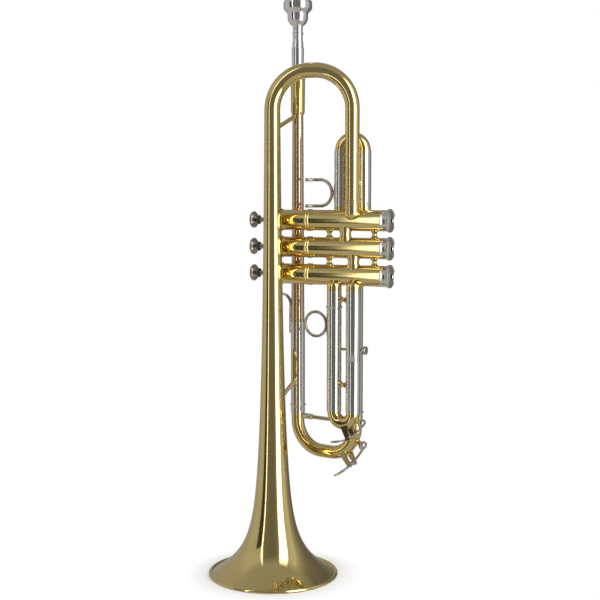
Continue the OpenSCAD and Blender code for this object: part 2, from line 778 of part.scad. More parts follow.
// A waisted strut between two legs at a height, cut to their surfaces.
module leg_strut(a, b, z, d) {
    span = 2 * half_pitch(a, b);
    gap = span - sleeve_d;
    c = mid(a, b);
    difference() {
        translate([c[0], c[1], z]) rotate([0, 0, heading(a, b)]) rotate([0, 90, 0]) {
            translate([0, 0, -gap / 2]) waisted(gap, d, strut_waist_d);
            for (side = [0, 1]) mirror([0, 0, side]) translate([0, 0, gap / 2 - EPS])
                cylinder(d = d, h = 2.5, $fn = 48);
        }
        for (at = [a, b]) translate([at[0], at[1], z - 10]) cylinder(d = sleeve_d, h = 20);
    }
}

third_strut_z = 185.3;
third_fixed_strut_z = 265.4;

module third_slide_strut() {
    color(BRASS) leg_strut(THIRD_UP, THIRD_LOW, third_strut_z, strut_d);
}

ring_turn = heading(THIRD_LOW, THIRD_UP);
ring_foot_t = 1;

module finger_ring() {
    ring_c = sleeve_d / 2 + ring_foot_t + ring_d / 2 - 0.5;
    color(SILVER) translate([third_up_x, third_up_y, ring_z]) rotate([0, 0, ring_turn]) difference() {
        union() {
            translate([ring_c, 0, 0]) rotate([90, 0, 0]) rotate_extrude($fn = 72)
                translate([(ring_d - ring_wire_d) / 2, 0]) circle(d = ring_wire_d, $fn = 24);
            foot(sleeve_d, ring_foot_t, 5.5, 24);
            translate([sleeve_d / 2 - 1, 0, 0]) rotate([0, 90, 0])
                cylinder(d = 3, h = ring_foot_t + 2.4, $fn = 24);
        }
        translate([0, 0, -20]) cylinder(d = sleeve_d, h = 40);
    }
}

// ---- First slide ----

first_sleeve_foot = elbow_end(1, elbow_slide, 1);
first_ferrule_h = 3;

module first_slide_sleeves() {
    color(NICKEL) {
        leg(FIRST_LOW, first_sleeve_foot, first_bend_z - 5, sleeve_d, sleeve_bore);
        leg(FIRST_UP, first_sleeve_foot, first_bend_z - 8, inner_d, bore_d);
    }
}

module first_slide_tubes() {
    color(NICKEL) {
        leg(FIRST_LOW, first_sleeve_foot + 8, first_bend_z, inner_d, bore_d);
        leg(FIRST_LOW, first_bend_z - 5 + stop_gap, first_bend_z, sleeve_d, inner_d);
        leg(FIRST_UP, first_sleeve_foot + stop_gap, first_bend_z, sleeve_d, sleeve_bore);
    }
}

module first_slide_crook() {
    color(BRASS) bend(FIRST_UP, FIRST_LOW, first_bend_z, crook_d, bore_d, 1);
}

saddle_turn = 174;
saddle_foot_t = 0.9;
saddle_post = 1.7;

module thumb_saddle() {
    saddle_c = sleeve_d / 2 + saddle_foot_t + saddle_post + saddle_wire_d / 2 - 0.4 + saddle_r;
    color(SILVER) translate([first_up_x, first_up_y, saddle_z]) rotate([0, 0, saddle_turn]) difference() {
        union() {
            translate([saddle_c, 0, 0]) rotate([90, 0, 0]) rotate([0, 0, 90])
                rotate_extrude(angle = 180, $fn = 72)
                translate([saddle_r, 0]) circle(d = saddle_wire_d, $fn = 24);
            for (side = [-1, 1]) translate([saddle_c, 0, side * saddle_r]) {
                rotate([0, 90, 0]) cylinder(d = saddle_wire_d, h = saddle_arm, $fn = 24);
                translate([saddle_arm, 0, 0]) sphere(d = saddle_wire_d + 0.5, $fn = 32);
            }
            foot(sleeve_d, saddle_foot_t, 5, 20);
            translate([sleeve_d / 2 - 1, 0, 0]) rotate([0, 90, 0])
                cylinder(d = 2.4, h = saddle_foot_t + saddle_post + 1.9, $fn = 24);
        }
        translate([0, 0, -20]) cylinder(d = sleeve_d, h = 40);
    }
}

// ---- Second slide ----

second_sleeve_y = valve_y + casing_d / 2 + 1.5;

module across(x, y0, y1, od, id) {
    translate([x, y0, valve_z(2)]) rotate([-90, 0, 0]) tube(od, id, y1 - y0);
}

module second_slide_sleeves() {
    color(NICKEL) for (x = [second_up_x, second_low_x])
        across(x, second_sleeve_y, second_bend_y - 3, sleeve_d, sleeve_bore);
}

module second_slide_tubes() {
    color(NICKEL) for (x = [second_up_x, second_low_x]) {
        across(x, second_sleeve_y + 3, second_bend_y, inner_d, bore_d);
        across(x, second_bend_y - 3 + stop_gap, second_bend_y, sleeve_d, inner_d);
    }
}

module second_slide_crook() {
    color(BRASS) translate([mid(second_up_x, second_low_x), second_bend_y, valve_z(2)])
        rotate_extrude(angle = 180) translate([(second_low_x - second_up_x) / 2, 0]) difference() {
            circle(d = crook_d, $fn = 48);
            circle(d = bore_d, $fn = 48);
        }
}

// ---- Valve casings ----

// The legs that meet each valve: [place, reach, way, outer diameter, inner diameter].
function ports(i) = i == 1 ? [
        [TAIL, elbow_tail, 1, tail_d + 1, tail_d - 2 * bell_wall],
        [FIRST_UP, elbow_slide, 1, sleeve_d, bore_d],
        [FIRST_LOW, elbow_slide, 1, sleeve_d, bore_d]]
    : i == 3 ? [
        [MAIN, elbow_slide, -1, sleeve_d, bore_d],
        [THIRD_LOW, elbow_third, -1, sleeve_d, bore_d],
        [THIRD_UP, elbow_third, -1, sleeve_d, bore_d]]
    : [];

function knuckles(i) = i == 1 ? [[knuckle_1_x, -1]] : i == 2 ? [[knuckle_1_x, 1], [knuckle_2_x, -1]]
    : [[knuckle_2_x, 1]];

module valve_casing(i) {
    color(BRASS) difference() {
        union() {
            on_valve(i) {
                valve_rod(casing_start, casing_end, casing_d);
                valve_rod(casing_end, casing_end + thread_h, thread_d);
                for (x = [shoulder_x - 4, shoulder_x - 1.5]) bead([0, 0], x, casing_d - 0.4, casing_d + 1.4);
            }
            for (p = ports(i)) elbow(i, p[0], p[1], p[2], p[3], 0);
            if (i == 2) for (x = [second_up_x, second_low_x])
                across(x, valve_y, second_sleeve_y, sleeve_d, bore_d);
        }
        on_valve(i) {
            valve_rod(casing_start - 1, shoulder_x, barrel_bore);
            valve_rod(shoulder_x - 1, casing_end + thread_h + 1, casing_bore);
        }
        for (p = ports(i)) elbow(i, p[0], p[1], p[2], p[4], 1);
        for (k = knuckles(i)) translate([k[0], knuckle_y, valve_z(i)])
            mirror([0, 0, k[1] < 0 ? 1 : 0]) cylinder(d = knuckle_bore, h = casing_d);
        if (i == 2) for (x = [second_up_x, second_low_x])
            translate([x, valve_y, valve_z(2)]) rotate([-90, 0, 0]) cylinder(d = bore_d, h = FAR);
    }
}

module top_cap(i) {
    r = top_cap_d / 2;
    color(NICKEL) on_valve(i) difference() {
        union() {
            valve_rod(cap_face + 0.8, casing_start + 3.5, top_cap_d);
            translate([0, 0, cap_face]) cylinder(r1 = r - 1.2, r2 = r, h = 0.8);
        }
        valve_rod(cap_face - 1, cap_face + cap_plate + 1, stem_d + 0.6);
        valve_rod(cap_face + cap_plate, casing_start + EPS, barrel_bore);
        valve_rod(casing_start, casing_start + 5, casing_d);
    }
}

module bottom_cap(i) {
    r = cap_rim_d / 2;
    face = cap_inner + 2.4;
    color(NICKEL) on_valve(i) rotate_extrude() polygon([
        [thread_d / 2, casing_end],
        [casing_d / 2 + 0.1, casing_end],
        [casing_d / 2 + 0.1, casing_end + 1.2],
        [casing_d / 2 - 0.3, casing_end + 1.6],
        [casing_d / 2 - 0.3, casing_end + 2.4],
        [casing_d / 2 + 0.1, casing_end + 2.8],
        [r - 0.9, face - 3.6],
        [r - 0.2, face - 3],
        [r, face - 2.2],
        [r - 0.2, face - 1.4],
        [r - 0.9, face - 0.9],
        [r - 1.9, face - 0.6],
        [r - 2.4, face - 0.9],
        [6, face - 0.3],
        [2.4, face],
        [2.4, cap_inner],
        [thread_d / 2, cap_inner]]);
}

module valve_knuckles() {
    color(BRASS) for (k = [[1, knuckle_1_x], [2, knuckle_2_x]]) difference() {
        translate([k[1], knuckle_y, valve_z(k[0] + 1)]) {
            difference() {
                union() {
                    cylinder(d = knuckle_d, h = valve_pitch);
                    for (side = [0, 1]) translate([0, 0, side * valve_pitch]) mirror([0, 0, side])
                        cylinder(d = knuckle_flange_d, h = casing_d / 2 + 0.9);
                }
                translate([0, 0, -1]) cylinder(d = knuckle_bore, h = valve_pitch + 2);
            }
        }
        valve_solid(k[0]);
        valve_solid(k[0] + 1);
    }
}

tail_strut_z = 373;

module brass_struts() {
    gap = valve_pitch - casing_d;
    color(BRASS) {
        for (i = [1, 2]) for (x = strut_xs) difference() {
            translate([x, valve_y, valve_z(i + 1) + casing_d / 2]) {
                waisted(gap, strut_d, strut_waist_d);
                for (side = [0, 1]) translate([0, 0, side * gap - 2 + side * (2 - EPS)])
                    cylinder(d = strut_d, h = 2 + EPS, $fn = 48);
            }
            valve_solid(i);
            valve_solid(i + 1);
        }
        leg_strut(THIRD_UP, THIRD_LOW, third_fixed_strut_z, strut_d);
        difference() {
            translate([tail_x, tail_y, tail_strut_z]) rotate([0, 0, heading(TAIL, FIRST_LOW)])
                rotate([0, 90, 0]) cylinder(d = 6, h = norm(FIRST_LOW - TAIL), $fn = 48);
            translate([tail_x, tail_y, tail_strut_z - 10]) cylinder(d = tail_d, h = 20);
            translate([first_low_x, first_low_y, tail_strut_z - 10]) cylinder(d = sleeve_d, h = 20);
        }
    }
}

// ---- Bell braces and hook ----

// A rod from the mouthpipe down to the bell, with a foot on each.
module bell_brace(z, drop, pipe_d, foot_z, foot_w, foot_l) {
    bell_z = z - drop;
    turn = heading(PIPE, [0, 0]);
    span = norm(PIPE);
    bell_d = 2 * bell_r(bell_z);
    difference() {
        union() {
            translate([pipe_x, pipe_y, z]) rotate([0, 0, turn]) rotate([0, 90 + atan(drop / span), 0])
                cylinder(d = brace_d, h = norm([span, drop]), $fn = 32);
            translate([pipe_x, pipe_y, foot_z]) rotate([0, 0, turn]) foot(pipe_d, 1, foot_w, foot_l);
            translate([0, 0, bell_z + 3]) rotate([0, 0, turn + 180]) foot(bell_d, 1, 7, 18);
        }
        translate([pipe_x, pipe_y, z - 45]) cylinder(d = pipe_d, h = 90);
        rotate_extrude($fn = 96) polygon(concat(bell_line, [[0, bow_z], [0, rim_z]]));
    }
}

upper_brace_drop = 17.7;
lower_brace_drop = 24.9;

module upper_bell_brace() {
    color(BRASS) difference() {
        bell_brace(upper_brace_z, upper_brace_drop, receiver_d - 0.5, upper_brace_z + 4, 7, 14);
        translate([pipe_x, pipe_y, 0]) rotate_extrude() polygon([
            [0, receiver_foot_z - 20],
            [pipe_top_d / 2 + 0.2, receiver_foot_z - 20],
            [pipe_top_d / 2 + 0.6, receiver_foot_z],
            [receiver_d / 2 - 0.3, receiver_foot_z + receiver_chamfer],
            [receiver_d / 2, receiver_top_z - 4.6],
            [0, receiver_top_z - 4.6]]);
    }
}

module lower_bell_brace() {
    color(BRASS) bell_brace(lower_brace_z, lower_brace_drop, sleeve_d, lower_brace_z + 10, 7, 36);
}

hook_t = 1.4;
hook_foot_z = pipe_foot_z - 12;
hook_bend_z = pipe_foot_z + 16;
hook_turn = 180;
hook_wrap = 205;

// A band that lies on the mouthpipe, then curls away from it and back down.
module pinky_hook() {
    out = sleeve_d / 2;
    sunk = 1.6;
    round_z = hook_foot_z + hook_w / 2;
    color(SILVER) translate([pipe_x, pipe_y, 0]) rotate([0, 0, hook_turn]) difference() {
        union() {
            translate([out - sunk, -hook_w / 2, round_z])
                cube([hook_t + sunk, hook_w, hook_bend_z - round_z]);
            translate([out - sunk, 0, round_z]) rotate([0, 90, 0])
                cylinder(d = hook_w, h = hook_t + sunk, $fn = 48);
            translate([out + hook_t / 2 + hook_r, 0, hook_bend_z]) rotate([90, 0, 0])
                rotate([0, 0, 180 - hook_wrap]) rotate_extrude(angle = hook_wrap, $fn = 96)
                translate([hook_r - hook_t / 2, -hook_w / 2]) square([hook_t, hook_w]);
        }
        translate([0, 0, main_sleeve_z]) cylinder(d = sleeve_d, h = pipe_foot_z + 0.2 - main_sleeve_z);
        translate([0, 0, pipe_foot_z]) cylinder(d = pipe_foot_d + 0.6, h = hook_bend_z + 2 - pipe_foot_z);
    }
}

lyre_z = main_bend_z + main_tube_h - 15;
lyre_rod_d = 2.5;
lyre_rod_h = 12;
lyre_box = [6, 5, 12];
lyre_hole = 3.4;
thumb_screw_d = 8;

// A small box for a music clip on a rod behind the third slide, and the thumb screw opposite it.
module lyre_socket() {
    reach = sleeve_d / 2;
    color(NICKEL) translate([main_x, main_y, lyre_z]) difference() {
        union() {
            rotate([0, -90, 0]) cylinder(d = lyre_rod_d, h = reach + lyre_rod_h, $fn = 32);
            translate([-reach - lyre_rod_h - lyre_box[0], -lyre_box[1] / 2, -lyre_box[2] / 2]) cube(lyre_box);
            rotate([0, 90, 0]) {
                cylinder(d = 3, h = reach + 2, $fn = 32);
                translate([0, 0, reach + 1.6]) cylinder(d = thumb_screw_d, h = 2.4, $fn = 48);
            }
        }
        translate([0, 0, -20]) cylinder(d = sleeve_d, h = 40);
        translate([-reach - lyre_rod_h - lyre_box[0] / 2, 0, -20]) cylinder(d = lyre_hole, h = 40, $fn = 32);
    }
}

// ---- Moving valve parts ----

piston_d = casing_bore - 2 * piston_gap;
passage_d = 8;
slot_start = shoulder_x - guide_t - stroke - 0.8;
slot_end = shoulder_x + 0.8;

// Passages through each piston, as pairs of [station, angle] on its surface.
function passages(i) = i == 1 ? [
        [[knuckle_1_x, -90], [tail_x, 60]],
        [[knuckle_1_x - stroke, -90], [first_up_x - stroke, 90]]]
    : i == 2 ? [
        [[knuckle_1_x, 90], [knuckle_2_x, -90]],
        [[knuckle_1_x - stroke, 90], [second_up_x - stroke + 6, 180]]]
    : [
        [[knuckle_2_x, 90], [main_x, -90]],
        [[knuckle_2_x - stroke, 90], [third_up_x - stroke + 4, -90]]];

function on_piston(p) = [-piston_d / 2 * sin(p[1]), piston_d / 2 * cos(p[1]), p[0]];

module passage(p, q, d) {
    a = on_piston(p);
    b = on_piston(q);
    v = b - a;
    u = v / norm(v);
    translate(a - 3 * u) rotate([0, acos(u[2]), atan2(u[1], u[0])])
        cylinder(d = d, h = norm(v) + 6, $fn = 40);
}

module piston(i) {
    color(NICKEL) on_valve(i) difference() {
        union() {
            difference() {
                valve_rod(piston_start, piston_end, piston_d);
                valve_rod(piston_start + 1.2, piston_end - 1.2, piston_d - 1.8);
            }
            intersection() {
                valve_rod(piston_start + 0.5, piston_end - 0.5, piston_d - 0.8);
                for (p = passages(i)) passage(p[0], p[1], passage_d + 1.2);
            }
            valve_rod(barrel_top, piston_start + EPS, barrel_d);
        }
        valve_rod(barrel_top + barrel_plate, piston_start, barrel_d - 2 * barrel_wall);
        translate([-(wing_w + 0.6) / 2, -barrel_d, slot_start])
            cube([wing_w + 0.6, 2 * barrel_d, slot_end - slot_start]);
        for (p = passages(i)) passage(p[0], p[1], passage_d);
        valve_rod(piston_end - 3, piston_end + 1, 5);
    }
}

module valve_guides() {
    color(BRASS) for (i = [1:3]) on_valve(i) {
        valve_rod(shoulder_x - guide_t, shoulder_x, barrel_d - 2 * barrel_wall - 0.8);
        intersection() {
            valve_rod(shoulder_x - guide_t, shoulder_x, barrel_bore);
            translate([-wing_w / 2, -FAR / 2, shoulder_x - guide_t]) cube([wing_w, FAR, guide_t]);
        }
    }
}

module valve_button(i) {
    r = button_d / 2;
    face = button_under - button_t;
    color(NICKEL) on_valve(i) rotate_extrude() polygon(concat(
        [[0, face + 0.9],
         [r - 2.2, face + 0.9],
         [r - 1.8, face],
         [r - 0.6, face]],
        arc([r - 1, face + 1.4], 1, -50, 40, 4),
        [[r * 0.8, face + 3.3],
         [r * 0.5, face + 4.4],
         [stem_d / 2 + 0.9, face + 5],
         [stem_d / 2 + 0.3, button_under],
         [stem_d / 2, button_under],
         [stem_d / 2, barrel_top],
         [0, barrel_top]]));
}

// The washer under the button and the bumper inside the top cap.
module valve_felts(i) {
    color(FELT) on_valve(i) for (x = [button_under, barrel_top - felt_t]) translate([0, 0, x])
        tube(x == button_under ? 9 : barrel_d - 1, stem_d, felt_t);
}

spring_curls = 9;
valve_spring_r = 5.2;
valve_wire_d = 0.9;

module valve_spring(i) {
    x0 = barrel_top + barrel_plate + stop_gap + valve_wire_d / 2;
    x1 = shoulder_x - guide_t - stop_gap - valve_wire_d / 2;
    pitch = (x1 - x0) / spring_curls;
    say_gap("valve spring", pitch, valve_wire_d / 2);
    color(STEEL) on_valve(i) translate([0, 0, x0]) wire_tube(
        [for (k = [0:spring_curls * ring_points]) helix_point(valve_spring_r, pitch, k / ring_points)],
        valve_wire_d / 2, 6);
}

// ---- Water keys in place ----

// A short coil beside the key's arm, with one tail to the bend and one along the arm.
module torsion_spring(cup_a, seat_r, pivot, hp) {
    hinge = polar(pivot[1], pivot[0]);
    cup = polar(seat_r + cork_gap + cork_h + 1.4, cup_a) - hinge;
    z0 = key_w / 2 + 0.3 + spring_wire_d / 2;
    coil_r = key_barrel_d / 2 + 0.3 + spring_wire_d / 2;
    pitch = spring_wire_d + 0.45;
    from = 270 - pivot[0];
    turn = heading([0, 0], cup) - 90 - from;
    sweep = turn - 360 * floor(turn / 360) + 360;
    n = round(sweep / 360 * ring_points);
    tube_top = hp + sqrt(pow(crook_d / 2, 2) - pow(z0, 2));
    in_tail = pivot[1] - tube_top - spring_wire_d / 2 - 0.1;
    out_tail = norm(cup) - cup_d / 2 - 3;
    at = function (a, z) [hinge[0] + coil_r * cos(a), hinge[1] + coil_r * sin(a), z];
    z1 = z0 + pitch * sweep / 360;
    say_gap("water key spring", pitch, spring_wire_d / 2);
    wire_tube(concat(
        [at(from, z0) - in_tail * [cos(pivot[0]), -sin(pivot[0]), 0]],
        [for (k = [0:n]) at(from + sweep * k / n, z0 + (z1 - z0) * k / n)],
        [at(from + sweep, z1) + out_tail * [cup[0], cup[1], 0] / norm(cup)]),
        spring_wire_d / 2, 6);
}

module main_water_key() {
    color(SILVER) main_key_plane()
        water_key(main_cup_angle, main_seat_r, main_pivot, main_tip);
}

module main_key_cork() {
    color(CORK) main_key_plane() key_cork(main_cup_angle, main_seat_r);
}

module main_key_spring() {
    color(STEEL) main_key_plane()
        torsion_spring(main_cup_angle, main_seat_r, main_pivot, main_corner_r);
}

module main_key_seat() {
    color(BRASS) main_key_plane()
        key_seat(main_cup_angle, main_seat_r, main_pivot, main_corner_r);
}

module third_water_key() {
    color(SILVER) third_key_plane()
        water_key(third_cup_angle, third_seat_r, third_pivot, third_tip);
}

module third_key_cork() {
    color(CORK) third_key_plane() key_cork(third_cup_angle, third_seat_r);
}

module third_key_spring() {
    color(STEEL) third_key_plane()
        torsion_spring(third_cup_angle, third_seat_r, third_pivot, half_pitch(THIRD_UP, THIRD_LOW));
}

module third_key_seat() {
    color(BRASS) third_key_plane()
        key_seat(third_cup_angle, third_seat_r, third_pivot, half_pitch(THIRD_UP, THIRD_LOW));
}

bell();
bell_rim_wire();
bell_bow();
bell_tail();
mouthpiece_receiver();
leadpipe();
main_slide_upper_sleeve();
main_slide_lower_sleeve();
valve_casing(1);  // valve_casing_1
valve_casing(2);  // valve_casing_2
valve_casing(3);  // valve_casing_3
top_cap(1);  // top_cap_1
top_cap(2);  // top_cap_2
top_cap(3);  // top_cap_3
bottom_cap(1);  // bottom_cap_1
bottom_cap(2);  // bottom_cap_2
bottom_cap(3);  // bottom_cap_3
valve_knuckles();
brass_struts();
first_slide_sleeves();
second_slide_sleeves();
third_slide_sleeves();
upper_bell_brace();
lower_bell_brace();
pinky_hook();
valve_guides();
lyre_socket();
mouthpiece();
main_slide_crook();
main_slide_tubes();
main_slide_brace();
main_key_seat();
main_key_spring();
main_water_key();
main_key_cork();
third_slide_crook();
third_slide_tubes();
finger_ring();
third_slide_strut();
third_key_seat();
third_key_spring();
third_water_key();
third_key_cork();
first_slide_crook();
first_slide_tubes();
thumb_saddle();
second_slide_crook();
second_slide_tubes();
piston(1);  // piston_1
piston(2);  // piston_2
piston(3);  // piston_3
valve_button(1);  // valve_button_1
valve_button(2);  // valve_button_2
valve_button(3);  // valve_button_3
valve_felts(1);  // valve_felts_1
valve_felts(2);  // valve_felts_2
valve_felts(3);  // valve_felts_3
valve_spring(1);  // valve_spring_1
valve_spring(2);  // valve_spring_2
valve_spring(3);  // valve_spring_3
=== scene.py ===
"""A piston-valve trumpet standing on its bell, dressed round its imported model."""

import logging
import math
from collections.abc import Sequence
from dataclasses import dataclass
from enum import Enum

import bpy
from mathutils import Matrix, Vector

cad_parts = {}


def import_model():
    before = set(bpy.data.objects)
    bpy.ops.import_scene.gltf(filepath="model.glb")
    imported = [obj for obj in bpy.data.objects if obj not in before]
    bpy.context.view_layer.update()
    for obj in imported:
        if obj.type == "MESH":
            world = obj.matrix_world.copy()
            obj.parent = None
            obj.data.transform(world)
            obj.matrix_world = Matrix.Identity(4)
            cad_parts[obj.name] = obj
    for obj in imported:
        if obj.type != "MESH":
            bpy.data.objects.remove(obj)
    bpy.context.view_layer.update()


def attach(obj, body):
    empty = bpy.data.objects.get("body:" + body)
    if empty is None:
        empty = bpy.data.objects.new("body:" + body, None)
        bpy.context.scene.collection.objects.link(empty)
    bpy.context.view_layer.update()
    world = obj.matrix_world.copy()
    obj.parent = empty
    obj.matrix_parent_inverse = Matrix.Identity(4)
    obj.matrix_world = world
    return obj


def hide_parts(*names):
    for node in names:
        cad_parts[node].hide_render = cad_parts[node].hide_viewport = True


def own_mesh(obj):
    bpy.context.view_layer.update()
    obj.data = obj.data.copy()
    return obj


LOG = logging.getLogger("trumpet")
MM = 0.001
Profile = Sequence[tuple[float, float]]
Place = tuple[float, float]


class Axis(Enum):
    """Which way a turned piece's own axis points."""

    UP = "up"
    ALONG_VALVES = "along the valves"
    BACK = "away from the bell"


class Crease(Enum):
    """The angle in degrees past which an edge stays sharp, by kind of piece."""

    TURNED = 24.0
    PLAIN = 28.0
    JOINED = 32.0
    CAST = 36.0
    CURVED = 40.0
    SLENDER = 50.0


# ---------------------------------------------------------------- finishes


@dataclass(frozen=True)
class MetalFinish:
    """Bright or satin metal, with faint hand-polishing marks and a little tarnish."""

    name: str
    colour: tuple[float, float, float]
    tarnish: tuple[float, float, float]
    rough: float = 0.12
    rough_spread: float = 0.06
    coat: float = 0.0
    marks: float = 0.008
    mark_scale: float = 700.0
    mark_stretch: float = 0.12
    mark_depth: float = 0.0001
    cloud_scale: float = 38.0
    tarnish_from: float = 0.36
    tarnish_to: float = 0.58
    coat_rough: float = 0.04
    cloud_detail: float = 5.0
    mark_detail: float = 3.0

    def material(self) -> bpy.types.Material:
        """Makes the finish once and gives it again afterwards.

        Returns:
            The finish's material.
        """
        made = bpy.data.materials.get(self.name)
        if made:
            return made
        made = bpy.data.materials.new(self.name)
        made.use_nodes = True
        nodes, links = made.node_tree.nodes, made.node_tree.links
        shader = nodes["Principled BSDF"]
        shader.inputs["Metallic"].default_value = 1.0
        shader.inputs["Coat Weight"].default_value = self.coat
        shader.inputs["Coat Roughness"].default_value = self.coat_rough
        place = nodes.new("ShaderNodeTexCoord")
        cloud = nodes.new("ShaderNodeTexNoise")
        cloud.inputs["Scale"].default_value = self.cloud_scale
        cloud.inputs["Detail"].default_value = self.cloud_detail
        links.new(place.outputs["Object"], cloud.inputs["Vector"])
        blend = nodes.new("ShaderNodeValToRGB")
        blend.color_ramp.elements[0].position = self.tarnish_from
        blend.color_ramp.elements[0].color = (*self.tarnish, 1)
        blend.color_ramp.elements[1].position = self.tarnish_to
        blend.color_ramp.elements[1].color = (*self.colour, 1)
        links.new(cloud.outputs["Fac"], blend.inputs["Fac"])
        links.new(blend.outputs["Color"], shader.inputs["Base Color"])
        stretch = nodes.new("ShaderNodeMapping")
        stretch.inputs["Scale"].default_value = (1.0, 1.0, self.mark_stretch)
        links.new(place.outputs["Object"], stretch.inputs["Vector"])
        lines = nodes.new("ShaderNodeTexNoise")
        lines.inputs["Scale"].default_value = self.mark_scale
        lines.inputs["Detail"].default_value = self.mark_detail
        links.new(stretch.outputs["Vector"], lines.inputs["Vector"])
        spread = nodes.new("ShaderNodeMapRange")
        spread.inputs["To Min"].default_value = self.rough - self.rough_spread / 2
        spread.inputs["To Max"].default_value = self.rough + self.rough_spread / 2
        links.new(lines.outputs["Fac"], spread.inputs["Value"])
        links.new(spread.outputs["Result"], shader.inputs["Roughness"])
        bump = nodes.new("ShaderNodeBump")
        bump.inputs["Strength"].default_value = self.marks
        bump.inputs["Distance"].default_value = self.mark_depth
        links.new(lines.outputs["Fac"], bump.inputs["Height"])
        links.new(bump.outputs["Normal"], shader.inputs["Normal"])
        return made


@dataclass(frozen=True)
class SoftFinish:
    """Cork or felt: dull, speckled and slightly uneven."""

    name: str
    light: tuple[float, float, float]
    dark: tuple[float, float, float]
    grain: float
    relief: float = 0.3
    sheen: float = 0.0
    relief_depth: float = 0.0003
    dark_to: float = 0.35
    light_from: float = 0.62
    rough: float = 0.9
    detail: float = 6.0

    def material(self) -> bpy.types.Material:
        """Makes the finish once and gives it again afterwards.

        Returns:
            The finish's material.
        """
        made = bpy.data.materials.get(self.name)
        if made:
            return made
        made = bpy.data.materials.new(self.name)
        made.use_nodes = True
        nodes, links = made.node_tree.nodes, made.node_tree.links
        shader = nodes["Principled BSDF"]
        shader.inputs["Roughness"].default_value = self.rough
        shader.inputs["Sheen Weight"].default_value = self.sheen
        place = nodes.new("ShaderNodeTexCoord")
        speck = nodes.new("ShaderNodeTexNoise")
        speck.inputs["Scale"].default_value = self.grain
        speck.inputs["Detail"].default_value = self.detail
        links.new(place.outputs["Object"], speck.inputs["Vector"])
        blend = nodes.new("ShaderNodeValToRGB")
        blend.color_ramp.elements[0].position = self.dark_to
        blend.color_ramp.elements[0].color = (*self.dark, 1)
        blend.color_ramp.elements[1].position = self.light_from
        blend.color_ramp.elements[1].color = (*self.light, 1)
        links.new(speck.outputs["Fac"], blend.inputs["Fac"])
        links.new(blend.outputs["Color"], shader.inputs["Base Color"])
        bump = nodes.new("ShaderNodeBump")
        bump.inputs["Strength"].default_value = self.relief
        bump.inputs["Distance"].default_value = self.relief_depth
        links.new(speck.outputs["Fac"], bump.inputs["Height"])
        links.new(bump.outputs["Normal"], shader.inputs["Normal"])
        return made


class Finish(Enum):
    """Every finish on the trumpet, each with the record's slot that it belongs to."""

    BRASS = (
        MetalFinish("lacquered_brass", (0.80, 0.635, 0.27), (0.77, 0.60, 0.245), 0.09, 0.04, 0.2),
        "brass",
    )
    ROSE = (
        MetalFinish(
            "lacquered_rose_brass", (0.74, 0.54, 0.37), (0.69, 0.49, 0.33), 0.11, 0.05, 0.1
        ),
        "rose_brass",
    )
    NICKEL = (
        MetalFinish("nickel_silver", (0.70, 0.665, 0.59), (0.66, 0.62, 0.545), 0.10, 0.05),
        "nickel_silver",
    )
    SILVER = (
        MetalFinish("silver_plate", (0.82, 0.81, 0.79), (0.77, 0.76, 0.74), 0.08, 0.04),
        "silver",
    )
    PLATE = (
        MetalFinish("worn_silver_plate", (0.60, 0.56, 0.50), (0.52, 0.48, 0.42), 0.15, 0.06),
        "silver",
    )
    BUTTON = (
        MetalFinish("dark_nickel", (0.50, 0.47, 0.42), (0.42, 0.40, 0.36), 0.14, 0.05),
        "button_nickel",
    )
    PISTON = (
        MetalFinish("lapped_piston", (0.62, 0.60, 0.56), (0.58, 0.56, 0.52), 0.28, 0.1, 0.0, 0.05),
        "monel",
    )
    STEEL = (
        MetalFinish("spring_steel", (0.56, 0.56, 0.57), (0.48, 0.48, 0.49), 0.22, 0.08),
        "steel",
    )
    CORK = (SoftFinish("natural_cork", (0.58, 0.40, 0.22), (0.34, 0.20, 0.10), 2200.0), "cork")
    FELT = (
        SoftFinish("wool_felt", (0.060, 0.055, 0.050), (0.030, 0.028, 0.026), 3200.0, 0.5, 0.2),
        "felt",
    )


# ---------------------------------------------------------------- modelling by operators


def clear() -> None:
    """Leaves edit mode and deselects everything."""
    if bpy.context.object and bpy.context.object.mode != "OBJECT":
        bpy.ops.object.mode_set(mode="OBJECT")
    bpy.ops.object.select_all(action="DESELECT")


def take(obj: bpy.types.Object) -> None:
    """Makes one object the only selected and active one.

    Args:
        obj: The object.
    """
    clear()
    obj.select_set(True)
    bpy.context.view_layer.objects.active = obj


def named(name: str) -> bpy.types.Object:
    """Names the active object and its mesh, and gives the object back.

    Args:
        name: The new name.

    Returns:
        The active object.
    """
    obj = bpy.context.object
    obj.name = name
    obj.data.name = name
    return obj


def draw_line(name: str, points: Sequence[Vector], closed: bool = False) -> bpy.types.Object:
    """Draws a chain of edges, point by point, and stays in edit mode.

    Args:
        name: Name of the new object.
        points: The chain's points in metres.
        closed: Whether the last point joins the first.

    Returns:
        The new object.
    """
    clear()
    bpy.ops.mesh.primitive_plane_add(size=0.001, location=(0, 0, 0))
    obj = named(name)
    bpy.ops.object.mode_set(mode="EDIT")
    bpy.ops.mesh.select_all(action="SELECT")
    bpy.ops.mesh.merge(type="CENTER")
    bpy.ops.transform.translate(value=points[0])
    chain = list(points) + ([points[0]] if closed else [])
    for here, there in zip(chain, chain[1:]):
        bpy.ops.mesh.extrude_vertices_move(TRANSFORM_OT_translate={"value": there - here})
    if closed:
        bpy.ops.mesh.select_all(action="SELECT")
        bpy.ops.mesh.remove_doubles(threshold=1e-7)
    return obj


def close_shape(obj: bpy.types.Object) -> bpy.types.Object:
    """Merges an edited mesh's doubles, points its faces outwards and leaves edit mode.

    Args:
        obj: The object in edit mode.

    Returns:
        The same object.
    """
    bpy.ops.mesh.select_all(action="SELECT")
    bpy.ops.mesh.remove_doubles(threshold=2e-7)
    bpy.ops.mesh.normals_make_consistent(inside=False)
    bpy.ops.object.mode_set(mode="OBJECT")
    return obj


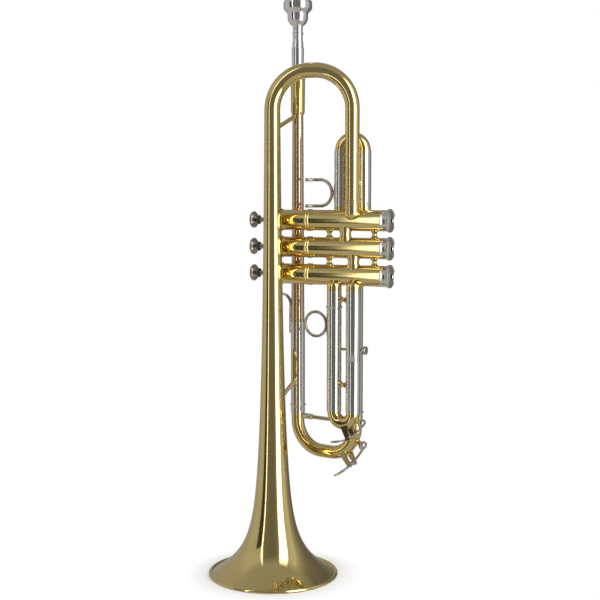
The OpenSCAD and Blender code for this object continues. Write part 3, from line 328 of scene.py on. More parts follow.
def apply_modifier(obj: bpy.types.Object, kind: str, **settings: object) -> None:
    """Adds one modifier with its settings and applies it.

    Args:
        obj: The object to change.
        kind: The modifier's type name.
        settings: Its properties.
    """
    take(obj)
    mod = obj.modifiers.new(kind.title(), kind)
    for key, value in settings.items():
        setattr(mod, key, value)
    bpy.ops.object.modifier_apply(modifier=mod.name)


def turned(name: str, profile: Profile, steps: int = 64, edge: float = 0.0) -> bpy.types.Object:
    """Turns a closed profile about Z, as on a lathe.

    Args:
        name: Name of the piece.
        profile: Radius and height of each corner in millimetres; a radius of 0 lies on the axis.
        steps: Steps round the piece.
        edge: Width in millimetres of the rounding on sharp corners.

    Returns:
        The turned piece, standing at the origin.
    """
    line = [Vector((r, 0, z)) * MM for r, z in profile]
    open_ended = profile[0][0] == 0 and profile[-1][0] == 0
    obj = draw_line(name, line, closed=not open_ended)
    bpy.ops.mesh.select_all(action="SELECT")
    bpy.ops.mesh.spin(steps=steps, angle=2 * math.pi, center=(0, 0, 0), axis=(0, 0, 1))
    close_shape(obj)
    if edge:
        soften(obj, edge)
    return smooth(obj)


def soften(obj: bpy.types.Object, width: float, segments: int = 2) -> bpy.types.Object:
    """Rounds an object's sharp edges.

    Args:
        obj: The object.
        width: Width of the rounding in millimetres.
        segments: Steps across it.

    Returns:
        The same object.
    """
    apply_modifier(
        obj,
        "BEVEL",
        width=width * MM,
        segments=segments,
        limit_method="ANGLE",
        angle_limit=math.radians(40),
    )
    return obj


def smooth(obj: bpy.types.Object, crease: Crease = Crease.JOINED) -> bpy.types.Object:
    """Shades an object smooth, but for edges sharper than an angle.

    Args:
        obj: The object.
        crease: The angle.

    Returns:
        The same object.
    """
    take(obj)
    bpy.ops.object.shade_smooth_by_angle(angle=math.radians(crease.value))
    return obj


def put(obj: bpy.types.Object, matrix: Matrix) -> bpy.types.Object:
    """Places an object and leaves its own origin unturned at the world's.

    Args:
        obj: The object.
        matrix: Where it goes, in metres.

    Returns:
        The same object.
    """
    take(obj)
    obj.matrix_world = matrix @ obj.matrix_world
    bpy.ops.object.transform_apply(location=True, rotation=True, scale=True)
    return obj


def at(x: float, y: float, z: float, axis: Axis = Axis.UP) -> Matrix:
    """A placing matrix from millimetres, with the piece's Z turned to an axis.

    Args:
        x: Place along X.
        y: Place along Y.
        z: Place along Z.
        axis: Where the piece's own Z points.

    Returns:
        The matrix, in metres.
    """
    turn = {
        Axis.UP: Matrix.Identity(4),
        Axis.ALONG_VALVES: Matrix.Rotation(math.pi / 2, 4, "Y"),
        Axis.BACK: Matrix.Rotation(-math.pi / 2, 4, "X"),
    }[axis]
    return Matrix.Translation(Vector((x, y, z)) * MM) @ turn


def joined(name: str, parts: Sequence[bpy.types.Object]) -> bpy.types.Object:
    """Joins objects into one under a name.

    Args:
        name: The name.
        parts: The objects.

    Returns:
        The joined object.
    """
    take(parts[0])
    for part in parts:
        part.select_set(True)
    if len(parts) > 1:
        bpy.ops.object.join()
    return named(name)


def bent_tube(
    name: str, radius: float, outer: float, wall: float, up: bool,
    steps: int = 56, flat: float = 0.0,
) -> bpy.types.Object:
    """Bends a tube back on itself in the XZ plane, both ends at height 0.

    Args:
        name: Name of the piece.
        radius: Radius of the bend in millimetres.
        outer: Outer radius of the tube in millimetres.
        wall: Wall in millimetres.
        up: Whether the bend rises or hangs.
        steps: Steps along the bend.
        flat: Half the straight between the bend's two quarters, and the straight above each.

    Returns:
        The bent tube.
    """
    clear()
    start = ((radius + flat) * MM, 0, 0)
    bpy.ops.mesh.primitive_circle_add(vertices=48, radius=outer * MM, location=start)
    obj = named(name)
    bpy.ops.object.mode_set(mode="EDIT")
    bpy.ops.mesh.select_all(action="SELECT")
    way = 1 if up else -1
    axis, rise = (0, way, 0), way * flat * MM
    if flat:
        push((0, 0, rise))
        centre = (flat * MM, 0, rise)
        bpy.ops.mesh.spin(steps=steps // 2, angle=math.pi / 2, center=centre, axis=axis)
        push((-2 * flat * MM, 0, 0))
        centre = (-flat * MM, 0, rise)
        bpy.ops.mesh.spin(steps=steps // 2, angle=math.pi / 2, center=centre, axis=axis)
        push((0, 0, -rise))
    else:
        bpy.ops.mesh.spin(steps=steps, angle=math.pi, center=(0, 0, 0), axis=axis)
    close_shape(obj)
    put(obj, Matrix.Identity(4))
    apply_modifier(obj, "SOLIDIFY", thickness=wall * MM, offset=-1, use_even_offset=True)
    return smooth(obj, Crease.CURVED)


def push(move: Sequence[float]) -> None:
    """Extrudes what is selected by a vector in metres."""
    bpy.ops.mesh.extrude_region_move(TRANSFORM_OT_translate={"value": move})


def wire(
    name: str, points: Sequence[Vector], radius: float, closed: bool = False, sides: int = 5
) -> bpy.types.Object:
    """Runs a round wire through points.

    Args:
        name: Name of the piece.
        points: The wire's middle line in metres.
        radius: Radius of the wire in millimetres.
        closed: Whether it joins itself.
        sides: Roundness of the wire.

    Returns:
        The wire as a mesh.
    """
    obj = draw_line(name, points, closed)
    bpy.ops.object.mode_set(mode="OBJECT")
    take(obj)
    bpy.ops.object.convert(target="CURVE")
    line = bpy.context.object
    line.data.bevel_depth = radius * MM
    line.data.bevel_resolution = sides
    line.data.use_fill_caps = True
    bpy.ops.object.convert(target="MESH")
    obj = named(name)
    bpy.ops.object.mode_set(mode="EDIT")
    close_shape(obj)
    return smooth(obj, Crease.SLENDER)


def dressed_copy(
    node: str, name: str, edge: float = 0.0, crease: Crease = Crease.PLAIN
) -> bpy.types.Object:
    """Copies a CAD node's mesh, merges it, eases its edges and shades it smooth.

    Args:
        node: The CAD node.
        name: Name of the copy.
        edge: Width in millimetres of the rounding on sharp edges.
        crease: Edges sharper than this stay sharp.

    Returns:
        The copy.
    """
    clear()
    source = bpy.data.objects[node]
    obj = source.copy()
    obj.data = source.data.copy()
    obj.parent = None
    obj.matrix_world = Matrix.Identity(4)
    for key in list(obj.keys()):
        del obj[key]
    bpy.context.scene.collection.objects.link(obj)
    take(obj)
    obj = named(name)
    bpy.ops.mesh.customdata_custom_splitnormals_clear()
    bpy.ops.object.mode_set(mode="EDIT")
    bpy.ops.mesh.select_all(action="SELECT")
    bpy.ops.mesh.remove_doubles(threshold=1e-6)
    bpy.ops.object.mode_set(mode="OBJECT")
    if edge:
        apply_modifier(
            obj,
            "DECIMATE",
            decimate_type="DISSOLVE",
            angle_limit=math.radians(0.6),
        )
        soften(obj, edge)
    return smooth(obj, crease)


def dress(
    obj: bpy.types.Object, finish: Finish, body: str, *nodes: str
) -> bpy.types.Object:
    """Gives a piece its finish and its body, and hides the CAD nodes that it stands for.

    Args:
        obj: The piece.
        finish: Its finish.
        body: The body that it rides on.
        nodes: The CAD nodes that it replaces.

    Returns:
        The piece.
    """
    look, slot = finish.value
    obj.data.materials.clear()
    obj.data.materials.append(look.material())
    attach(obj, body)
    if nodes:
        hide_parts(*nodes)
    LOG.info("%s: %d faces, on %s", obj.name, len(obj.data.polygons), body)
    return obj


def paint_node(node: str, finish: Finish) -> None:
    """Gives a CAD node that stays in sight its finish.

    Args:
        node: The node's name.
        finish: Its finish.
    """
    obj = bpy.data.objects[node]
    look = finish.value[0].material()
    if not obj.material_slots:
        obj.data.materials.append(look)
    for slot in obj.material_slots:
        slot.material = look


def straight_tube(
    name: str, place: Place, low: float, high: float, outer: float, inner: float,
    edge: float = 0.12,
) -> bpy.types.Object:
    """A straight tube at a leg's place.

    Args:
        name: Name of the tube.
        place: The leg's X and Y in millimetres.
        low: Its lower end.
        high: Its upper end.
        outer: Outer radius.
        inner: Inner radius.
        edge: Rounding of its rims.

    Returns:
        The tube.
    """
    profile = [(inner, low), (outer, low), (outer, high), (inner, high)]
    return put(turned(name, profile, 64, edge), at(*place, 0))


def beaded_sleeve(
    name: str, place: Place, low: float, high: float, outer: float, inner: float, bead: float
) -> bpy.types.Object:
    """A straight sleeve with a rolled bead near its lower end.

    Args:
        name: Name of the sleeve.
        place: The leg's X and Y in millimetres.
        low: Its lower end.
        high: Its upper end.
        outer: Outer radius.
        inner: Inner radius.
        bead: Radius over the bead.

    Returns:
        The sleeve.
    """
    half = bead - outer
    middle = low + half + 0.25
    roll = [
        (outer + half * math.sin(math.pi * i / 8), middle - half * math.cos(math.pi * i / 8))
        for i in range(9)
    ]
    profile = [(inner, low), (outer - 0.1, low), (outer, low + 0.15)]
    profile += roll + [(outer, high), (inner, high)]
    return put(turned(name, profile, 72), at(*place, 0))


def arc(x: float, z: float, radius: float, first: float, last: float, count: int) -> list[Place]:
    """Points of an arc, for a turned profile.

    Args:
        x: The middle's distance from the axis in millimetres.
        z: The middle's height.
        radius: The arc's radius.
        first: Angle of its first point in degrees.
        last: Angle of its last point.
        count: Steps along it.

    Returns:
        The points.
    """
    angles = [math.radians(first + (last - first) * i / count) for i in range(count + 1)]
    return [(x + radius * math.cos(a), z + radius * math.sin(a)) for a in angles]


def heading(a: Place, b: Place) -> float:
    """The direction from one place to another, in radians."""
    return math.atan2(b[1] - a[1], b[0] - a[0])


def half_pitch(a: Place, b: Place) -> float:
    """Half the distance between two places."""
    return math.dist(a, b) / 2


def bend_frame(a: Place, b: Place, z: float) -> Matrix:
    """The frame of a bend between two legs: X across it, Z up, Y out of its plane."""
    middle = Vector(((a[0] + b[0]) / 2, (a[1] + b[1]) / 2, z)) * MM
    return Matrix.Translation(middle) @ Matrix.Rotation(heading(a, b), 4, "Z")


# ---------------------------------------------------------------- the shared sizes


@dataclass(frozen=True)
class Sizes:
    """Sizes in millimetres that several sub-assemblies share."""

    pipe: Place = (5.3, 43.0)
    main: Place = (72.5, 30.0)
    third_low: Place = (76.5, 15.0)
    third_up: Place = (55.9, 17.4)
    first_up: Place = (59.4, 25.8)
    first_low: Place = (79.9, 30.3)
    tail: Place = (74.8, 15.0)
    bore: float = 5.85
    inner: float = 6.35
    sleeve_bore: float = 6.4
    sleeve: float = 6.9
    crook: float = 6.3
    crook_wall: float = 0.45
    bead: float = 7.85
    bow_z: float = 441.5
    valve_y: float = 23.0
    valve_zs: tuple[float, float, float] = (339.0, 313.4, 287.8)
    stroke: float = 16.5


SIZES = Sizes()


# ---------------------------------------------------------------- bell


@dataclass
class BellSection:
    """The spun bell with its rolled rim, the bow over the top and the straight tail."""

    rim: float = 61.89
    bead: float = 1.6
    rest_flat: float = 0.3
    wall: float = 0.7
    stem: float = 7.45
    taper: float = 0.0062
    throat_rise: float = 14.1
    throat_fade: float = 108.0
    flare_fade: float = 19.8
    tail_radius: float = 6.65
    bend: float = 35.5
    tail_foot: float = 349.7

    def radius(self, z: float) -> float:
        """The bell's outer radius at a height, both in millimetres.

        Args:
            z: The height.

        Returns:
            The radius.
        """
        rim_z = self.bead - self.rest_flat
        top = SIZES.bow_z
        rise = self.rim - self.bead - self.stem - self.taper * (top - rim_z) - self.throat_rise
        flare = rise * math.exp(-(z - rim_z) / self.flare_fade)
        throat = self.throat_rise * (
            math.exp(-(z - rim_z) / self.throat_fade) - math.exp(-(top - rim_z) / self.throat_fade)
        )
        return self.stem + self.taper * (top - z) + flare + throat

    def bell(self) -> bpy.types.Object:
        """Turns the bell, its wall and the bead round its rim wire.

        Returns:
            The bell.
        """
        rim_z, top, count = self.bead - self.rest_flat, SIZES.bow_z, 64
        heights = [rim_z + (top - rim_z) * (i / count) ** 2.2 for i in range(count + 1)]
        middle = self.rim - self.bead
        start = 3
        outside = [(self.radius(z), z) for z in heights[start:]]
        inside = [(self.radius(z) - self.wall, z) for z in reversed(heights[start:])]
        first, last = math.radians(205), -math.radians(118)
        bead = []
        for i in range(25):
            a = first + (last - first) * i / 24
            x, z = middle + self.bead * math.cos(a), rim_z + self.bead * math.sin(a)
            bead.append((x, max(z, 0.0)))
        bead.reverse()
        return turned("bell_spun", [*outside, *inside, *bead], 144)

    def bow(self) -> bpy.types.Object:
        """Bends the tapered bow ring by ring: a quarter turn, a short flat and a quarter turn.

        Returns:
            The bow.
        """
        span = math.hypot(*SIZES.tail)
        flat = span - 2 * self.bend
        length = math.pi * self.bend + flat
        quarter, steps = math.pi * self.bend / 2, 28
        clear()
        bpy.ops.mesh.primitive_circle_add(
            vertices=64, radius=self.stem * MM, location=(0, 0, SIZES.bow_z * MM)
        )
        obj = named("bell_bow_bent")
        bpy.ops.object.mode_set(mode="EDIT")
        bpy.ops.mesh.select_all(action="SELECT")

        def radius(s: float) -> float:
            """The bow's outer radius at a distance along it."""
            return self.stem + (self.tail_radius - self.stem) * s / length

        def shrink(s0: float, s1: float, middle: tuple[float, float]) -> None:
            """Scales the newest ring about its middle to its place's radius.

            Args:
                s0: Distance along the bow of the ring before.
                s1: Distance along the bow of this ring.
                middle: The ring's middle.
            """
            k = radius(s1) / radius(s0)
            centre = (middle[0] * MM, 0, middle[1] * MM)
            bpy.ops.transform.resize(value=(k, k, k), center_override=centre)

        done = 0.0
        for part, pivot in ((0, self.bend), (1, self.bend + flat)):
            for i in range(steps):
                angle = math.pi / 2 / steps
                centre = (pivot * MM, 0, SIZES.bow_z * MM)
                bpy.ops.mesh.spin(steps=1, angle=angle, center=centre, axis=(0, -1, 0))
                turn = (i + 1) * angle + part * math.pi / 2
                middle = (
                    pivot - self.bend * math.cos(turn),
                    SIZES.bow_z + self.bend * math.sin(turn),
                )
                shrink(done, done + quarter / steps, middle)
                done += quarter / steps
            if part == 0:
                push((flat * MM, 0, 0))
                shrink(done, done + flat, (self.bend + flat, SIZES.bow_z + self.bend))
                done += flat
        close_shape(obj)
        put(obj, Matrix.Identity(4))
        apply_modifier(obj, "SOLIDIFY", thickness=self.wall * MM, offset=-1)
        smooth(obj, Crease.CURVED)
        return put(obj, Matrix.Rotation(heading((0, 0), SIZES.tail), 4, "Z"))

    def tail(self) -> bpy.types.Object:
        """Turns the tail with its ferrule and bead.

        Returns:
            The tail.
        """
        r, z = self.tail_radius, self.tail_foot
        roll = [
            (r + 0.5 + 0.5 * math.sin(math.pi * i / 6), z + 7 - 0.5 * math.cos(math.pi * i / 6))
            for i in range(7)
        ]
        profile = [
            (r - self.wall, z), (r + 0.5, z), (r + 0.5, z + 4.2), (r + 0.3, z + 4.5),
            (r + 0.5, z + 4.8), *roll, (r + 0.5, z + 7.7), (r, z + 8.0),
            (r, SIZES.bow_z), (r - self.wall, SIZES.bow_z),
        ]
        return put(turned("bell_tail_tube", profile, 72), at(*SIZES.tail, 0))

    def build(self) -> None:
        """Builds and dresses the bell section."""
        dress(self.bell(), Finish.BRASS, "trumpet", "bell")
        dress(self.bow(), Finish.BRASS, "trumpet", "bell_bow")
        dress(self.tail(), Finish.BRASS, "trumpet", "bell_tail")
        paint_node("bell_rim_wire", Finish.STEEL)


# ---------------------------------------------------------------- mouthpipe and mouthpiece


@dataclass
class Mouthpipe:
    """The red-brass mouthpipe, its receiver and the mouthpiece."""

    foot: float = 240.0
    seat: float = 6.0
    top_radius: float = 5.3
    receiver_top: float = 484.0
    receiver_length: float = 44.5
    receiver_radius: float = 6.95
    shank_depth: float = 24.5
    shown: float = 63.4
    rim_radius: float = 13.75
    cup_radius: float = 8.4
    cup_depth: float = 12.5
    throat: float = 1.85

    def pipe(self) -> bpy.types.Object:
        """Turns the tapering mouthpipe.

        Returns:
            The mouthpipe.
        """
        low, joint = self.foot - self.seat, self.receiver_top - self.receiver_length
        top = self.receiver_top - self.shank_depth - 2
        profile = [
            (SIZES.bore, low), (6.38, low), (6.38, self.foot + 0.1), (6.4, self.foot + 0.2),
            (self.top_radius, joint), (self.top_radius, top), (self.top_radius - 0.7, top),
        ]
        return put(turned("mouthpipe_tube", profile, 64), at(*SIZES.pipe, 0))

    def receiver(self) -> bpy.types.Object:
        """Turns the receiver, with its chamfered foot and the ring at its mouth.

        Returns:
            The receiver.
        """
        r, top = self.receiver_radius, self.receiver_top
        low = top - self.receiver_length
        p = self.top_radius
        profile = [
            (p + 0.02, low), (p + 0.5, low), (p + 0.62, low + 0.1), (r - 0.42, low + 2.2),
            (r - 0.3, low + 2.6), (r - 0.12, top - 24), (r, top - 5.2), (r + 0.02, top - 4.7),
            (r + 0.3, top - 4.5), (r + 0.45, top - 4.1), (r + 0.45, top - 3.1),
            (r + 0.3, top - 2.8), (r + 0.45, top - 2.5), (r + 0.45, top - 0.7),
            (r + 0.3, top - 0.2), (r + 0.05, top),
            (5.75, top), (5.62, top - 0.3), (5.01, top - self.shank_depth), (4.72, top - 26.5),
            (p, top - 26.5),
        ]
        return put(turned("receiver_tube", profile, 72), at(*SIZES.pipe, 0))

    def mouthpiece(self) -> bpy.types.Object:
        """Turns the mouthpiece: shank, waisted stem, cup and rounded rim, hollow through.

        Returns:
            The mouthpiece.
        """
        base, neck = self.receiver_top, self.receiver_top + 19
        top, lip = self.receiver_top + self.shown, 2.2
        rim = self.rim_radius
        outside = [
            (4.95, base - self.shank_depth), (5.6, base), (5.93, neck - 1.0), (5.9, neck - 0.6),
            (5.75, neck - 0.2), (5.45, neck + 0.1), (5.36, neck + 0.5), (5.34, neck + 3.2),
            (5.2, neck + 4.4), (4.95, neck + 5.6), (4.78, neck + 7.2), (4.75, neck + 8.2),
            (4.8, neck + 10.2), (4.88, neck + 11.2), *arc(3.8, neck + 13.4, 1.5, -52, 52, 10),
            (4.7, neck + 15.2), (4.65, neck + 16.0), (4.8, neck + 17.4), (4.76, neck + 18.6),
            (4.85, neck + 19.0), *arc(0.9, top - 16.1, 8.95, -63, 0, 16), (9.92, top - 14.0),
            (9.98, top - 12.9), (10.3, top - 11.9), (rim - 2.7, top - 11.0),
            (rim - 1.4, top - 9.8),
            (rim - 0.3, top - 8.4), (rim, top - 7.8), *arc(rim - lip, top - lip, lip, 0, 90, 12),
        ]
        half = lip / 1.6
        inside = arc(self.cup_radius + half, top - lip + 0.82, half, 95, 180, 8)
        for i in range(1, 13):
            a = math.pi / 2 * i / 12
            inside.append(
                (
                    self.throat + (self.cup_radius - self.throat) * math.cos(a),
                    top - lip - (self.cup_depth - lip) * math.sin(a),
                )
            )
        inside += [
            (self.throat, top - self.cup_depth - 5),
            (2.6, base - 2),
            (4.25, base - self.shank_depth),
        ]
        return put(turned("mouthpiece_cup", outside + inside, 96), at(*SIZES.pipe, 0))

    def build(self) -> None:
        """Builds and dresses the mouthpipe, receiver and mouthpiece."""
        dress(self.pipe(), Finish.ROSE, "trumpet", "leadpipe")
        dress(self.receiver(), Finish.BRASS, "trumpet", "mouthpiece_receiver")
        dress(self.mouthpiece(), Finish.SILVER, "mouthpiece", "mouthpiece")


# ---------------------------------------------------------------- slides


@dataclass
class MainSlide:
    """The main tuning slide: sleeves, tubes, crook and brace."""

    bend: float = 150.0
    corner: float = 28.0
    sleeve_foot: float = 156.5
    sleeve_top: float = 240.0
    valve_end: float = 275.6
    tube: float = 82.0
    brace_edge: float = 0.15

    def build(self) -> None:
        """Builds and dresses the main tuning slide."""
        s = SIZES
        upper = beaded_sleeve(
            "main_upper_sleeve_tube", s.pipe, self.sleeve_foot, self.sleeve_top, s.sleeve,
            s.sleeve_bore, s.bead,
        )
        dress(upper, Finish.NICKEL, "trumpet", "main_slide_upper_sleeve")
        lower = beaded_sleeve(
            "main_lower_sleeve_tube", s.main, self.sleeve_foot, self.valve_end, s.sleeve,
            s.sleeve_bore, s.bead,
        )
        dress(lower, Finish.NICKEL, "trumpet", "main_slide_lower_sleeve")
        tubes = []
        for place in (s.pipe, s.main):
            z, top = self.bend, self.sleeve_foot - 0.3
            profile = [
                (s.bore, z), (s.sleeve - 0.1, z), (s.sleeve, z + 0.1), (s.sleeve, z + 0.9),
                (s.sleeve - 0.18, z + 1.1), (s.sleeve, z + 1.3), (s.sleeve, top - 0.6),
                (s.sleeve - 0.35, top), (s.inner, top), (s.inner, z + self.tube - 0.2),
                (s.inner - 0.15, z + self.tube), (s.bore, z + self.tube),
            ]
            tubes.append(put(turned("leg", profile, 64), at(*place, 0)))
        dress(joined("main_slide_legs", tubes), Finish.NICKEL, "main_slide", "main_slide_tubes")
        flat = half_pitch(s.pipe, s.main) - self.corner
        crook = bent_tube("main_slide_bend", self.corner, s.crook, s.crook_wall, False, 72, flat)
        put(crook, bend_frame(s.pipe, s.main, self.bend))
        dress(crook, Finish.BRASS, "main_slide", "main_slide_crook")
        brace = dressed_copy("main_slide_brace", "main_slide_rod", self.brace_edge)
        dress(brace, Finish.NICKEL, "main_slide", "main_slide_brace")


@dataclass
class ThirdSlide:
    """The third slide: one reversed leg, a strut and the finger ring."""

    bend: float = 159.5
    seam: float = 209.0
    collar: float = 257.0
    tube_top: float = 271.0
    inner_foot: float = 166.0
    valve_end: float = 273.6

    def build(self) -> None:
        """Builds and dresses the third slide."""
        s = SIZES
        fixed = [
            straight_tube("a", s.third_low, self.seam, self.valve_end, s.sleeve, s.sleeve_bore),
            straight_tube("b", s.third_up, self.inner_foot, self.collar + 1, s.inner, s.bore),
            beaded_sleeve(
                "c", s.third_up, self.collar, self.valve_end, s.sleeve, s.bore, s.bead
            ),
        ]
        dress(joined("third_sleeves", fixed), Finish.NICKEL, "trumpet", "third_slide_sleeves")
        z, seam, top = self.bend, self.seam - 0.3, self.tube_top
        low_leg = [
            (s.bore, z), (s.sleeve - 0.1, z), (s.sleeve, z + 0.1), (s.sleeve, z + 3.6),
            (s.sleeve - 0.2, z + 3.85), (s.sleeve, z + 4.1), (s.sleeve, seam - 0.15),
            (s.sleeve - 0.15, seam), (s.inner, seam), (s.inner, top), (s.bore, top),
        ]
        mouth = self.collar - 0.3
        up_leg = [
            (s.sleeve_bore, z), (s.sleeve - 0.1, z), (s.sleeve, z + 0.1), (s.sleeve, z + 3.6),
            (s.sleeve - 0.2, z + 3.85), (s.sleeve, z + 4.1), (s.sleeve, mouth - 0.15),
            (s.sleeve - 0.15, mouth), (s.sleeve_bore, mouth),
        ]
        moving = [
            put(turned("d", low_leg, 64), at(*s.third_low, 0)),
            put(turned("e", up_leg, 64), at(*s.third_up, 0)),
        ]
        dress(joined("third_legs", moving), Finish.NICKEL, "third_slide", "third_slide_tubes")
        radius = half_pitch(s.third_up, s.third_low)
        crook = bent_tube("third_slide_bend", radius, s.crook, s.crook_wall, False, 48)
        put(crook, bend_frame(s.third_up, s.third_low, self.bend))
        dress(crook, Finish.BRASS, "third_slide", "third_slide_crook")
        strut = dressed_copy("third_slide_strut", "third_strut_waisted", 0.0, Crease.CURVED)
        dress(strut, Finish.BRASS, "third_slide", "third_slide_strut")
        ring = dressed_copy("finger_ring", "finger_ring_wire", 0.0, Crease.SLENDER)
        dress(ring, Finish.PLATE, "third_slide", "finger_ring")


@dataclass
class FirstSlide:
    """The first slide with its thumb saddle."""

    bend: float = 404.0
    foot: float = 351.2

    def build(self) -> None:
        """Builds and dresses the first slide."""
        s, z = SIZES, self.bend
        fixed = [
            straight_tube("a", s.first_low, self.foot, z - 5, s.sleeve, s.sleeve_bore),
            straight_tube("b", s.first_up, self.foot, z - 8, s.inner, s.bore),
        ]
        dress(joined("first_sleeves", fixed), Finish.NICKEL, "trumpet", "first_slide_sleeves")
        low_leg = [
            (s.bore, self.foot + 8), (s.inner, self.foot + 8), (s.inner, z - 4.7),
            (s.sleeve - 0.15, z - 4.7), (s.sleeve, z - 4.55), (s.sleeve, z - 0.1),
            (s.sleeve - 0.1, z), (s.bore, z),
        ]
        up_leg = [
            (s.sleeve_bore, self.foot + 0.3), (s.sleeve - 0.15, self.foot + 0.3),
            (s.sleeve, self.foot + 0.45), (s.sleeve, z - 4.9), (s.sleeve - 0.2, z - 4.7),
            (s.sleeve, z - 4.5), (s.sleeve, z - 0.1), (s.sleeve - 0.1, z), (s.sleeve_bore, z),
        ]
        moving = [
            put(turned("c", low_leg, 64), at(*s.first_low, 0)),
            put(turned("d", up_leg, 64), at(*s.first_up, 0)),
        ]
        dress(joined("first_legs", moving), Finish.NICKEL, "first_slide", "first_slide_tubes")
        radius = half_pitch(s.first_up, s.first_low)
        crook = bent_tube("first_slide_bend", radius, s.crook, s.crook_wall, True, 48)
        put(crook, bend_frame(s.first_up, s.first_low, z))
        dress(crook, Finish.BRASS, "first_slide", "first_slide_crook")
        saddle = dressed_copy("thumb_saddle", "thumb_saddle_wire", 0.0, Crease.SLENDER)
        dress(saddle, Finish.PLATE, "first_slide", "thumb_saddle")


@dataclass
class SecondSlide:
    """The short second slide, pointing back from the middle valve."""

    legs: Place = (51.5, 72.5)
    sleeve_start: float = 34.2
    bend: float = 61.0

    def build(self) -> None:
        """Builds and dresses the second slide."""
        s, z = SIZES, SIZES.valve_zs[1]
        sleeves, tubes = [], []
        start, end = self.sleeve_start, self.bend
        for x in self.legs:
            sleeve = [
                (s.sleeve_bore, start), (s.sleeve, start), (s.sleeve, end - 3.15),
                (s.sleeve - 0.15, end - 3), (s.sleeve_bore, end - 3),
            ]
            sleeves.append(put(turned("a", sleeve, 64), at(x, 0, z, Axis.BACK)))
            tube = [
                (s.bore, start + 3), (s.inner, start + 3), (s.inner, end - 2.7),
                (s.sleeve - 0.15, end - 2.7), (s.sleeve, end - 2.55), (s.sleeve, end - 0.1),
                (s.sleeve - 0.1, end), (s.bore, end),
            ]
            tubes.append(put(turned("b", tube, 64), at(x, 0, z, Axis.BACK)))
        dress(joined("second_sleeves", sleeves), Finish.NICKEL, "trumpet", "second_slide_sleeves")
        dress(joined("second_legs", tubes), Finish.NICKEL, "second_slide", "second_slide_tubes")
        radius = (self.legs[1] - self.legs[0]) / 2
        crook = bent_tube("second_slide_bend", radius, s.crook, s.crook_wall, True, 48)
        put(crook, at(sum(self.legs) / 2, end, z, Axis.BACK))
        dress(crook, Finish.BRASS, "second_slide", "second_slide_crook")


# ---------------------------------------------------------------- valves


